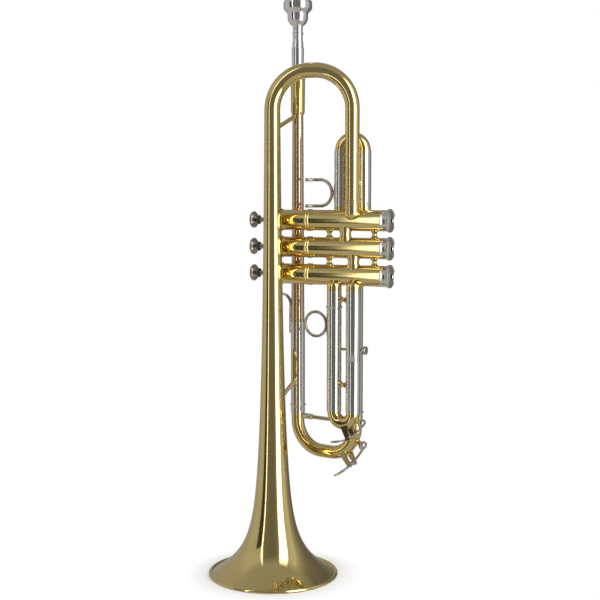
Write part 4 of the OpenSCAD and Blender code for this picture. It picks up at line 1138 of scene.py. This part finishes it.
@dataclass
class ValveBlock:
    """Casings, caps, knuckles, pistons, springs, felts and finger buttons."""

    button_under: float = -27.5
    button_thick: float = 5.9
    button_radius: float = 8.0
    stem: float = 2.35
    barrel_top: float = -5.1
    cap_rim: float = 10.9
    cap_inner: float = 109.0
    thread: float = 9.1
    casing: float = 9.7
    casing_end: float = 102.5
    felt: float = 1.8
    curls: int = 9
    spring_radius: float = 5.2
    spring_wire: float = 0.45
    spring_ends: tuple[float, float] = (-2.85, 27.85)
    guide: float = 28.6
    guide_edge: float = 0.2
    top_cap_edge: float = 0.25

    def place(self, i: int) -> Matrix:
        """The frame of valve i, its Z along the valve."""
        return at(0, SIZES.valve_y, SIZES.valve_zs[i - 1], Axis.ALONG_VALVES)

    def bottom_cap(self, i: int) -> bpy.types.Object:
        """Turns a bottom cap with its beaded rim, stepped face and vent.

        Args:
            i: The valve's number.

        Returns:
            The cap.
        """
        c, r, start = self.casing, self.cap_rim, self.casing_end
        face = self.cap_inner + 2.4
        profile = [
            (self.thread, start), (c, start), (c + 0.1, start + 0.15), (c + 0.1, start + 1.0),
            (c, start + 1.25), (c - 0.3, start + 1.5), (c - 0.3, start + 2.4), (c, start + 2.7),
            (c + 0.1, start + 2.9), (r - 0.9, face - 3.7), (r - 0.35, face - 3.3),
            (r - 0.1, face - 2.9), (r, face - 2.2), (r - 0.1, face - 1.6), (r - 0.35, face - 1.15),
            (r - 0.9, face - 0.85), (r - 1.5, face - 0.62), (r - 1.9, face - 0.62),
            (r - 2.2, face - 0.95), (r - 2.6, face - 0.98), (r - 2.9, face - 0.72),
            (6.0, face - 0.34), (5.6, face - 0.45), (5.2, face - 0.24), (3.4, face - 0.04),
            (2.7, face), (2.4, face - 0.3),
            (2.4, self.cap_inner), (self.thread, self.cap_inner),
        ]
        return put(turned(f"bottom_cap_{i}_turned", profile, 96), self.place(i))

    def button(self, i: int) -> bpy.types.Object:
        """Turns a finger button and its stem.

        Args:
            i: The valve's number.

        Returns:
            The button.
        """
        r, under = self.button_radius, self.button_under
        face = under - self.button_thick
        profile = [
            (0, face + 1.15), (3.2, face + 1.05), (r - 2.4, face + 0.8), (r - 1.9, face + 0.35),
            (r - 1.5, face + 0.08), (r - 1.0, face), (r - 0.5, face + 0.2), (r - 0.14, face + 0.7),
            (r, face + 1.3), (r - 0.1, face + 1.9), (r - 0.5, face + 2.4), (r - 1.2, face + 2.9),
            (r * 0.68, face + 3.6), (r * 0.5, face + 4.2), (self.stem + 1.0, face + 4.8),
            (self.stem + 0.5, face + 5.4), (self.stem + 0.35, under), (self.stem, under),
            (self.stem, self.barrel_top), (0, self.barrel_top),
        ]
        return put(turned(f"button_{i}_turned", profile, 72), self.place(i))

    def felts(self, i: int) -> bpy.types.Object:
        """Turns the washer under the button and the bumper in the top cap.

        Args:
            i: The valve's number.

        Returns:
            Both washers as one piece.
        """
        parts = []
        for start, radius in ((self.button_under, 4.45), (self.barrel_top - self.felt, 7.1)):
            end = start + self.felt
            profile = [
                (self.stem + 0.02, start), (radius - 0.3, start), (radius, start + 0.35),
                (radius, end - 0.35), (radius - 0.3, end), (self.stem + 0.02, end),
            ]
            parts.append(put(turned("washer", profile, 40), self.place(i)))
        return joined(f"felts_{i}_cut", parts)

    def spring(self, i: int) -> bpy.types.Object:
        """Winds a valve spring at an even pitch.

        Args:
            i: The valve's number.

        Returns:
            The spring.
        """
        x0, x1 = self.spring_ends
        count = self.curls * 16
        points = []
        for k in range(count + 1):
            turn, share = 2 * math.pi * k / 16, k / count
            x = x0 + (x1 - x0) * share
            round_x = self.spring_radius * math.cos(turn)
            round_y = self.spring_radius * math.sin(turn)
            points.append(Vector((round_x, round_y, x)) * MM)
        return put(wire(f"spring_{i}_wound", points, self.spring_wire, sides=2), self.place(i))

    def build(self) -> None:
        """Builds and dresses the valve block."""
        for i in (1, 2, 3):
            casing = dressed_copy(f"valve_casing_{i}", f"casing_{i}_shell", 0.0, Crease.TURNED)
            dress(casing, Finish.BRASS, "trumpet", f"valve_casing_{i}")
            dress(self.bottom_cap(i), Finish.NICKEL, "trumpet", f"bottom_cap_{i}")
            cap = dressed_copy(f"top_cap_{i}", f"top_cap_{i}_shell", self.top_cap_edge)
            dress(cap, Finish.NICKEL, "trumpet", f"top_cap_{i}")
            body = f"valve_{i}"
            dress(self.button(i), Finish.BUTTON, body, f"valve_button_{i}")
            dress(self.felts(i), Finish.FELT, body, f"valve_felts_{i}")
            piston = dressed_copy(f"piston_{i}", f"piston_{i}_lapped", 0.0, Crease.TURNED)
            dress(piston, Finish.PISTON, body, f"piston_{i}")
            spring = dress(self.spring(i), Finish.STEEL, "trumpet", f"valve_spring_{i}")
            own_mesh(spring)
        knuckles = dressed_copy("valve_knuckles", "knuckle_tubes", 0.0, Crease.JOINED)
        dress(knuckles, Finish.BRASS, "trumpet", "valve_knuckles")
        struts = dressed_copy("brass_struts", "waisted_struts", 0.0, Crease.CURVED)
        dress(struts, Finish.BRASS, "trumpet", "brass_struts")
        guides = dressed_copy("valve_guides", "spring_guides", self.guide_edge)
        dress(guides, Finish.BRASS, "trumpet", "valve_guides")


# ---------------------------------------------------------------- fittings and keys


@dataclass
class Fittings:
    """The bell braces, the little-finger hook and the lyre socket."""

    hook_edge: float = 0.3
    socket_edge: float = 0.2

    def build(self) -> None:
        """Builds and dresses the fittings."""
        upper = dressed_copy("upper_bell_brace", "upper_brace_rod", 0.0, Crease.CAST)
        dress(upper, Finish.BRASS, "trumpet", "upper_bell_brace")
        lower = dressed_copy("lower_bell_brace", "lower_brace_rod", 0.0, Crease.CAST)
        dress(lower, Finish.BRASS, "trumpet", "lower_bell_brace")
        hook = dressed_copy("pinky_hook", "little_finger_hook", self.hook_edge, Crease.CAST)
        dress(hook, Finish.PLATE, "trumpet", "pinky_hook")
        socket = dressed_copy("lyre_socket", "lyre_socket_box", self.socket_edge, Crease.JOINED)
        dress(socket, Finish.NICKEL, "trumpet", "lyre_socket")


@dataclass
class WaterKey:
    """One water key on a bend: seat, spring, key and cork, in the bend's own plane."""

    name: str
    slide: str
    a: Place
    b: Place
    bend: float
    cup_angle: float
    seat_rise: float
    pivot: Place
    tip: Place
    corner: float = 0.0
    paddle: float = 3.4
    width: float = 1.7
    cork_radius: float = 3.3
    cork_thick: float = 3.0
    cork_gap: float = 0.1
    cup_radius: float = 4.3
    cup_thick: float = 4.2
    ear: float = 4.9
    barrel: float = 2.0
    pin: float = 0.85
    spring_wire: float = 0.35
    arm_thick: float = 1.5
    arm_steps: int = 22
    widen_from: float = 0.2
    widen_over: float = 0.35
    round_from: float = 0.86
    round_over: float = 0.15

    def frame(self) -> Matrix:
        """The bend's plane: X across the bend, Y up, Z towards the viewer's side.

        Returns:
            The plane's frame, from the middle of the bend or of the corner under the key.
        """
        flat = half_pitch(self.a, self.b) - self.reach()
        corner = Matrix.Translation(Vector((flat, 0, 0)) * MM)
        upright = Matrix.Rotation(math.pi / 2, 4, "X")
        return bend_frame(self.a, self.b, self.bend - flat) @ corner @ upright

    def spot(self, angle: float, radius: float, z: float = 0.0) -> Vector:
        """A point of the plane.

        Args:
            angle: Degrees below the horizontal.
            radius: Distance from the bend's middle in millimetres.
            z: Distance out of the plane.

        Returns:
            The point in metres.
        """
        a = math.radians(angle)
        return Vector((radius * math.cos(a), -radius * math.sin(a), z)) * MM

    def reach(self) -> float:
        """Radius of the bend under the key: its corner's, or half its legs' distance."""
        return self.corner or half_pitch(self.a, self.b)

    def out_from(self, angle: float, radius: float) -> Matrix:
        """A frame on the plane, its Z pointing away from the bend.

        Args:
            angle: Degrees below the horizontal.
            radius: Distance from the bend's middle in millimetres.

        Returns:
            The frame.
        """
        turn = Matrix.Rotation(-math.radians(angle), 4, "Z") @ Matrix.Rotation(math.pi / 2, 4, "Y")
        return Matrix.Translation(self.spot(angle, radius)) @ turn

    def back_line(self, angle: float) -> float:
        """Follows the arm's back: a curve through cup, pivot and tip.

        Args:
            angle: Degrees below the horizontal.

        Returns:
            The back's distance from the bend's middle in millimetres.
        """
        seat = self.reach() + self.seat_rise
        back = seat + self.cork_gap + self.cork_thick + 1.4
        knots = (
            (self.cup_angle, back),
            (self.pivot[0], self.reach() + self.pivot[1]),
            (self.tip[0], self.reach() + self.tip[1]),
        )
        total = 0.0
        for i, (ai, ri) in enumerate(knots):
            share = ri
            for j, (aj, _) in enumerate(knots):
                if i != j:
                    share *= (angle - aj) / (ai - aj)
            total += share
        return total

    def arm(self) -> bpy.types.Object:
        """Draws the arm out from the cup to its rounded touch piece.

        Returns:
            The arm.
        """
        count = self.arm_steps
        stations = []
        for i in range(count + 1):
            share = i / count
            angle = self.cup_angle - 2 + (self.tip[0] - self.cup_angle + 2) * share
            along = (angle - self.pivot[0]) / (self.tip[0] - self.pivot[0])
            half = self.width
            if along > self.widen_from:
                wider = min(1.0, (along - self.widen_from) / self.widen_over)
                half += (self.paddle - self.width) * wider
            if along > self.round_from:
                past = (along - self.round_from) / self.round_over
                half *= math.sqrt(max(0.0, 1 - past**2)) * 0.9 + 0.1
            stations.append((self.spot(angle, self.back_line(angle)), half))
        first, half = stations[0]
        start = [first + Vector((0, 0, -half)) * MM, first + Vector((0, 0, half)) * MM]
        obj = draw_line("arm", start)
        bpy.ops.mesh.select_all(action="SELECT")
        for (here, w0), (there, w1) in zip(stations, stations[1:]):
            push(there - here)
            bpy.ops.transform.resize(value=(1, 1, w1 / w0), center_override=there)
        close_shape(obj)
        apply_modifier(obj, "SOLIDIFY", thickness=self.arm_thick * MM, offset=0)
        soften(obj, 0.42, 3)
        return smooth(obj, Crease.SLENDER)

    def key(self) -> bpy.types.Object:
        """Makes the key: cup, arm and barrel as one piece.

        Returns:
            The key.
        """
        seat = self.reach() + self.seat_rise
        back = self.cork_gap + self.cork_thick
        low, high = back - 1.8, back + self.cup_thick - 1.8
        r, c = self.cup_radius, self.cork_radius
        cup = [
            (0, back), (c, back), (c + 0.05, low + 0.1), (c + 0.2, low), (r - 0.2, low),
            (r, low + 0.25), (r, high - 1.6), (r - 0.25, high - 1.0), (r - 0.9, high - 0.45),
            (r - 1.9, high - 0.12), (r - 3.0, high), (0, high),
        ]
        bowl = put(turned("cup", cup, 56), self.out_from(self.cup_angle, seat))
        half, b = self.ear - 0.2, self.barrel
        rod = [
            (self.pin, -half), (b - 0.15, -half), (b, -half + 0.2), (b, -half + 1.0),
            (b - 0.2, -half + 1.2), (b - 0.2, half - 1.2), (b, half - 1.0), (b, half - 0.2),
            (b - 0.15, half), (self.pin, half),
        ]
        tube = put(
            turned("barrel", rod, 40),
            Matrix.Translation(self.spot(self.pivot[0], self.reach() + self.pivot[1])),
        )
        return put(joined(f"{self.name}_lever", [self.arm(), bowl, tube]), self.frame())

    def cork(self) -> bpy.types.Object:
        """Cuts the cork pad with softened rims.

        Returns:
            The cork.
        """
        r, h = self.cork_radius - 0.03, self.cork_thick - 0.02
        profile = [(0, 0), (r - 0.35, 0), (r - 0.1, 0.12), (r, 0.4), (r, h), (0, h)]
        seat = self.reach() + self.seat_rise + self.cork_gap
        pad = turned(f"{self.name}_pad", profile, 48)
        return put(put(pad, self.out_from(self.cup_angle, seat)), self.frame())

    def spring(self) -> bpy.types.Object:
        """Winds the spring round the barrel, with a tail to the bend and one to the cup.

        Returns:
            The spring.
        """
        pivot = self.spot(self.pivot[0], self.reach() + self.pivot[1])
        seat = self.reach() + self.seat_rise
        toward = self.spot(self.cup_angle, seat + self.cork_gap + self.cork_thick + 1.4) - pivot
        wire_r = self.spring_wire
        z0, coil, pitch = 1.6 + 0.3 + wire_r, self.barrel + 0.3 + wire_r, 2 * wire_r + 0.45
        start = 270 - self.pivot[0]
        turn = math.degrees(math.atan2(toward.y, toward.x)) - 90 - start
        sweep = turn - 360 * math.floor(turn / 360) + 360
        count = round(sweep / 360 * 24)
        top = self.reach() + math.sqrt(SIZES.crook**2 - z0**2)
        tail = self.reach() + self.pivot[1] - top - wire_r - 0.1

        def ring(angle: float, z: float) -> Vector:
            """A point of the coil."""
            a = math.radians(angle)
            return pivot + Vector((coil * math.cos(a), coil * math.sin(a), z)) * MM

        a = math.radians(self.pivot[0])
        inward = Vector((math.cos(a), -math.sin(a), 0)) * MM
        points = [ring(start, z0) - tail * inward]
        points += [
            ring(start + sweep * k / count, z0 + pitch * sweep / 360 * k / count)
            for k in range(count + 1)
        ]
        last = ring(start + sweep, z0 + pitch * sweep / 360)
        reach = toward.length / MM - self.cup_radius - 3
        points.append(last + reach * MM * toward.normalized())
        return put(wire(f"{self.name}_coil", points, wire_r, sides=3), self.frame())

    def build(self) -> None:
        """Builds and dresses the key on its slide."""
        dress(self.key(), Finish.PLATE, f"{self.name}", f"{self.slide}_water_key")
        dress(self.cork(), Finish.CORK, f"{self.name}", f"{self.name}_cork")
        body = f"{self.slide}_slide"
        dress(self.spring(), Finish.STEEL, body, f"{self.name}_spring")
        seat = dressed_copy(f"{self.name}_seat", f"{self.name}_saddle", 0.0, Crease.JOINED)
        dress(seat, Finish.BRASS, body, f"{self.name}_seat")


# ---------------------------------------------------------------- studio


@dataclass
class Studio:
    """Pale floor, soft lights, a tent for the metal to mirror and the photograph's camera."""

    azimuth: float = 26.167
    distance: float = 1.1216
    height: float = 0.3616
    pitch: float = 4.98
    focal_px: float = 1192.8
    image_px: float = 600.0
    aside: float = 0.0258
    sensor: float = 36.0
    tent_radius: float = 1.45
    tent_height: float = 0.27
    slit_level: float = 4.5
    roof_level: float = 0.33
    floor_level: float = 0.45
    screen_top: tuple[float, float] = (0.48, 0.52)
    floor_edge: tuple[float, float] = (-0.72, -0.64)
    roof_edge: tuple[float, float] = (0.93, 1.2)
    shadow_edge: tuple[float, float] = (0.058, 0.088)
    floor_grey: float = 0.93
    floor_size: float = 12.0
    floor_drop: float = 0.0002
    tent_segments: int = 96
    tent_rings: int = 48
    world_level: float = 0.55
    cloth: Profile = (
        (-180, 0.34), (-120, 0.42), (-100, 0.5), (-70, 0.5), (-49, 0.42), (-48, 3.0), (-43.5, 3.0),
        (-42, 0.19), (-20, 0.17), (0, 0.16), (18, 0.19), (27, 0.28), (29.5, 4.5), (58, 4.5),
        (61, 0.4), (68, 0.55), (88, 0.62), (97, 0.4), (120, 0.2), (150, 0.13), (180, 0.34),
    )
    screened_cloth: Profile = (
        (-180, 0.34), (-120, 0.42), (-100, 0.5), (-73, 0.46), (-68, 0.05), (-48, 0.05),
        (-46.8, 3.0), (-43.2, 3.0), (-42, 0.19), (-20, 0.17), (0, 0.16), (18, 0.19), (27, 0.28),
        (29.5, 4.5), (58, 4.5), (61, 0.4), (68, 0.55), (88, 0.62), (97, 0.4), (120, 0.2),
        (150, 0.13), (180, 0.34),
    )

    def aim(self, around: float, up: float, distance: float) -> Vector:
        """A point round the trumpet.

        Args:
            around: Degrees to the right of the camera.
            up: Degrees up.
            distance: Metres away.

        Returns:
            The point.
        """
        a = math.radians(self.azimuth + around)
        e = math.radians(up)
        flat = distance * math.cos(e)
        height = self.tent_height + distance * math.sin(e)
        return Vector((flat * math.sin(a), -flat * math.cos(a), height))

    def camera(self) -> None:
        """Sets the camera at the photograph's viewing angle."""
        a, p = math.radians(self.azimuth), math.radians(self.pitch)
        right = Vector((math.cos(a), math.sin(a), 0))
        ahead = Vector((-math.sin(a), math.cos(a), 0))
        sight = ahead * math.cos(p) - Vector((0, 0, 1)) * math.sin(p)
        data = bpy.data.cameras.new("photo_camera")
        data.sensor_width = self.sensor
        data.lens = self.focal_px * data.sensor_width / self.image_px
        cam = bpy.data.objects.new("photo_camera", data)
        cam.location = right * self.aside - ahead * self.distance + Vector((0, 0, self.height))
        cam.rotation_mode = "QUATERNION"
        cam.rotation_quaternion = sight.to_track_quat("-Z", "Y")
        bpy.context.scene.collection.objects.link(cam)
        bpy.context.scene.camera = cam

    def floor(self) -> None:
        """Lays the pale floor, which fades to white away from the trumpet."""
        clear()
        bpy.ops.mesh.primitive_plane_add(size=self.floor_size, location=(0, 0, -self.floor_drop))
        obj = named("floor")
        look = bpy.data.materials.new("pale_floor")
        look.use_nodes = True
        nodes, links = look.node_tree.nodes, look.node_tree.links
        nodes.remove(nodes["Principled BSDF"])
        matt = nodes.new("ShaderNodeBsdfDiffuse")
        matt.inputs["Color"].default_value = (*[self.floor_grey] * 3, 1)
        glow = nodes.new("ShaderNodeEmission")
        place = nodes.new("ShaderNodeTexCoord")
        length = nodes.new("ShaderNodeVectorMath")
        length.operation = "LENGTH"
        links.new(place.outputs["Object"], length.inputs[0])
        fade = nodes.new("ShaderNodeMapRange")
        fade.interpolation_type = "SMOOTHSTEP"
        fade.inputs["From Min"].default_value = self.shadow_edge[0]
        fade.inputs["From Max"].default_value = self.shadow_edge[1]
        links.new(length.outputs["Value"], fade.inputs["Value"])
        path = nodes.new("ShaderNodeLightPath")
        seen = nodes.new("ShaderNodeMath")
        seen.operation = "MULTIPLY"
        links.new(fade.outputs["Result"], seen.inputs[0])
        links.new(path.outputs["Is Camera Ray"], seen.inputs[1])
        mix = nodes.new("ShaderNodeMixShader")
        links.new(seen.outputs["Value"], mix.inputs["Fac"])
        links.new(matt.outputs["BSDF"], mix.inputs[1])
        links.new(glow.outputs["Emission"], mix.inputs[2])
        links.new(mix.outputs["Shader"], nodes["Material Output"].inputs["Surface"])
        obj.data.materials.append(look)
        obj.visible_glossy = False

    def world(self) -> None:
        """Gives plain soft light, and white to the camera; the tent hides both from gloss."""
        world = bpy.context.scene.world or bpy.data.worlds.new("studio")
        bpy.context.scene.world = world
        world.use_nodes = True
        nodes, links = world.node_tree.nodes, world.node_tree.links
        soft = nodes["Background"]
        soft.inputs["Color"].default_value = (1, 1, 1, 1)
        soft.inputs["Strength"].default_value = self.world_level
        white = nodes.new("ShaderNodeBackground")
        white.inputs["Color"].default_value = (1, 1, 1, 1)
        white.inputs["Strength"].default_value = 1.0
        path = nodes.new("ShaderNodeLightPath")
        either = nodes.new("ShaderNodeMath")
        either.operation = "MAXIMUM"
        links.new(path.outputs["Is Camera Ray"], either.inputs[0])
        links.new(path.outputs["Is Glossy Ray"], either.inputs[1])
        also = nodes.new("ShaderNodeMath")
        also.operation = "MAXIMUM"
        links.new(either.outputs["Value"], also.inputs[0])
        links.new(path.outputs["Is Transmission Ray"], also.inputs[1])
        mix = nodes.new("ShaderNodeMixShader")
        links.new(also.outputs["Value"], mix.inputs["Fac"])
        links.new(soft.outputs["Background"], mix.inputs[1])
        links.new(white.outputs["Background"], mix.inputs[2])
        links.new(mix.outputs["Shader"], nodes["World Output"].inputs["Surface"])

    def tent(self) -> None:
        """Raises the tent that the metal mirrors: dark by the camera, with two bright slits."""
        clear()
        bpy.ops.mesh.primitive_uv_sphere_add(
            segments=self.tent_segments, ring_count=self.tent_rings,
            radius=self.tent_radius, location=(0, 0, self.tent_height),
        )
        obj = named("tent")
        obj.rotation_euler = (0, 0, math.radians(self.azimuth))
        look = bpy.data.materials.new("tent_cloth")
        look.use_nodes = True
        nodes, links = look.node_tree.nodes, look.node_tree.links
        nodes.remove(nodes["Principled BSDF"])
        place = nodes.new("ShaderNodeTexCoord")
        axes = nodes.new("ShaderNodeSeparateXYZ")
        links.new(place.outputs["Object"], axes.inputs["Vector"])
        ahead = nodes.new("ShaderNodeMath")
        ahead.operation = "MULTIPLY"
        ahead.inputs[1].default_value = -1.0
        links.new(axes.outputs["Y"], ahead.inputs[0])
        around = nodes.new("ShaderNodeMath")
        around.operation = "ARCTAN2"
        links.new(axes.outputs["X"], around.inputs[0])
        links.new(ahead.outputs["Value"], around.inputs[1])
        turn = self.share(look, around.outputs["Value"], -math.pi, math.pi)
        low = self.share(look, axes.outputs["Z"], *self.screen_top)
        ground = self.share(look, axes.outputs["Z"], *self.floor_edge)
        roof = self.share(look, axes.outputs["Z"], *self.roof_edge)
        grey = self.cloth_ramp(look, turn, self.cloth)
        below = self.cloth_ramp(look, turn, self.screened_cloth)
        grey = self.blend(look, low, below, grey)
        grey = self.blend(look, ground, self.level(look, self.floor_level), grey)
        grey = self.blend(look, roof, grey, self.level(look, self.roof_level))
        glow = nodes.new("ShaderNodeEmission")
        glow.inputs["Strength"].default_value = self.slit_level
        links.new(grey, glow.inputs["Color"])
        links.new(glow.outputs["Emission"], nodes["Material Output"].inputs["Surface"])
        obj.data.materials.append(look)
        obj.visible_camera = False
        obj.visible_shadow = False
        obj.visible_diffuse = False
        obj.visible_transmission = False

    def share(
        self, look: bpy.types.Material, value: bpy.types.NodeSocket, low: float, high: float
    ) -> bpy.types.NodeSocket:
        """Adds a node that runs from 0 to 1 between two values.

        Args:
            look: The material.
            value: What is measured.
            low: Where the result is 0.
            high: Where it is 1.

        Returns:
            The result.
        """
        node = look.node_tree.nodes.new("ShaderNodeMapRange")
        node.inputs["From Min"].default_value = low
        node.inputs["From Max"].default_value = high
        look.node_tree.links.new(value, node.inputs["Value"])
        return node.outputs["Result"]

    def level(self, look: bpy.types.Material, level: float) -> bpy.types.NodeSocket:
        """Adds a plain grey of the tent's cloth.

        Args:
            look: The material.
            level: How bright the grey is.

        Returns:
            The grey.
        """
        node = look.node_tree.nodes.new("ShaderNodeRGB")
        grey = level / self.slit_level
        node.outputs[0].default_value = (grey, grey, grey, 1)
        return node.outputs[0]

    def cloth_ramp(
        self, look: bpy.types.Material, turn: bpy.types.NodeSocket, cloth: Profile
    ) -> bpy.types.NodeSocket:
        """Adds the tent's greys round the trumpet.

        Args:
            look: The material.
            turn: Share of the way round, from behind the trumpet by the left.
            cloth: Degrees to the right of the camera and brightness of each stop.

        Returns:
            The grey.
        """
        node = look.node_tree.nodes.new("ShaderNodeValToRGB")
        stops = node.color_ramp.elements
        stops.remove(stops[1])
        for n, (degrees, level) in enumerate(cloth):
            stop = stops[0] if n == 0 else stops.new(1.0)
            stop.position = degrees / 360 + 0.5
            grey = level / self.slit_level
            stop.color = (grey, grey, grey, 1)
        look.node_tree.links.new(turn, node.inputs["Fac"])
        return node.outputs["Color"]

    def blend(
        self,
        look: bpy.types.Material,
        share: bpy.types.NodeSocket,
        first: bpy.types.NodeSocket,
        second: bpy.types.NodeSocket,
    ) -> bpy.types.NodeSocket:
        """Adds a node that goes from one grey to another.

        Args:
            look: The material.
            share: How much of the second grey shows.
            first: The first grey.
            second: The second grey.

        Returns:
            The blend.
        """
        node = look.node_tree.nodes.new("ShaderNodeMix")
        node.data_type = "RGBA"
        for socket, source in ((0, share), (6, first), (7, second)):
            look.node_tree.links.new(source, node.inputs[socket])
        return node.outputs[2]

    def lamp(
        self, name: str, around: float, up: float, distance: float, size: Place, watts: float
    ) -> None:
        """Hangs a softbox that faces the trumpet.

        Args:
            name: Name of the lamp.
            around: Degrees to the right of the camera.
            up: Degrees up.
            distance: Metres away.
            size: Width and height in metres.
            watts: Its power.
        """
        data = bpy.data.lights.new(name, "AREA")
        data.shape = "RECTANGLE"
        data.size, data.size_y = size
        data.energy = watts
        obj = bpy.data.objects.new(name, data)
        spot = self.aim(around, up, distance)
        obj.location = spot
        obj.rotation_mode = "QUATERNION"
        sight = Vector((0, 0, self.tent_height)) - spot
        obj.rotation_quaternion = sight.to_track_quat("-Z", "Y")
        obj.visible_glossy = False
        bpy.context.scene.collection.objects.link(obj)

    def build(self) -> None:
        """Sets up the studio."""
        bpy.context.scene.view_settings.view_transform = "Standard"
        self.camera()
        self.floor()
        self.world()
        self.tent()
        self.lamp("strip_softbox", around=42, up=12, distance=1.7, size=(0.42, 1.6), watts=12)
        self.lamp("top_softbox", around=-30, up=62, distance=1.8, size=(1.4, 1.4), watts=14)
        LOG.info("studio ready")


# ---------------------------------------------------------------- the whole trumpet


def main() -> None:
    """Builds the trumpet's sub-assemblies in order, then the studio."""
    logging.basicConfig(level=logging.INFO, format="%(name)s %(message)s")
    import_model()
    BellSection().build()
    Mouthpipe().build()
    MainSlide().build()
    ThirdSlide().build()
    FirstSlide().build()
    SecondSlide().build()
    ValveBlock().build()
    Fittings().build()
    WaterKey(
        name="main_key", slide="main", a=SIZES.pipe, b=SIZES.main, bend=MainSlide.bend,
        cup_angle=25.3, seat_rise=9.8, pivot=(56.6, 15.4), tip=(85.7, 22.9),
        corner=MainSlide.corner,
    ).build()
    WaterKey(
        name="third_key", slide="third", a=SIZES.third_up, b=SIZES.third_low,
        bend=ThirdSlide.bend, cup_angle=24.7, seat_rise=8.6, pivot=(72.5, 13.9), tip=(114.0, 22.3),
    ).build()
    Studio().build()
    clear()
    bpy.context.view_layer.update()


if __name__ == "__main__":
    main()
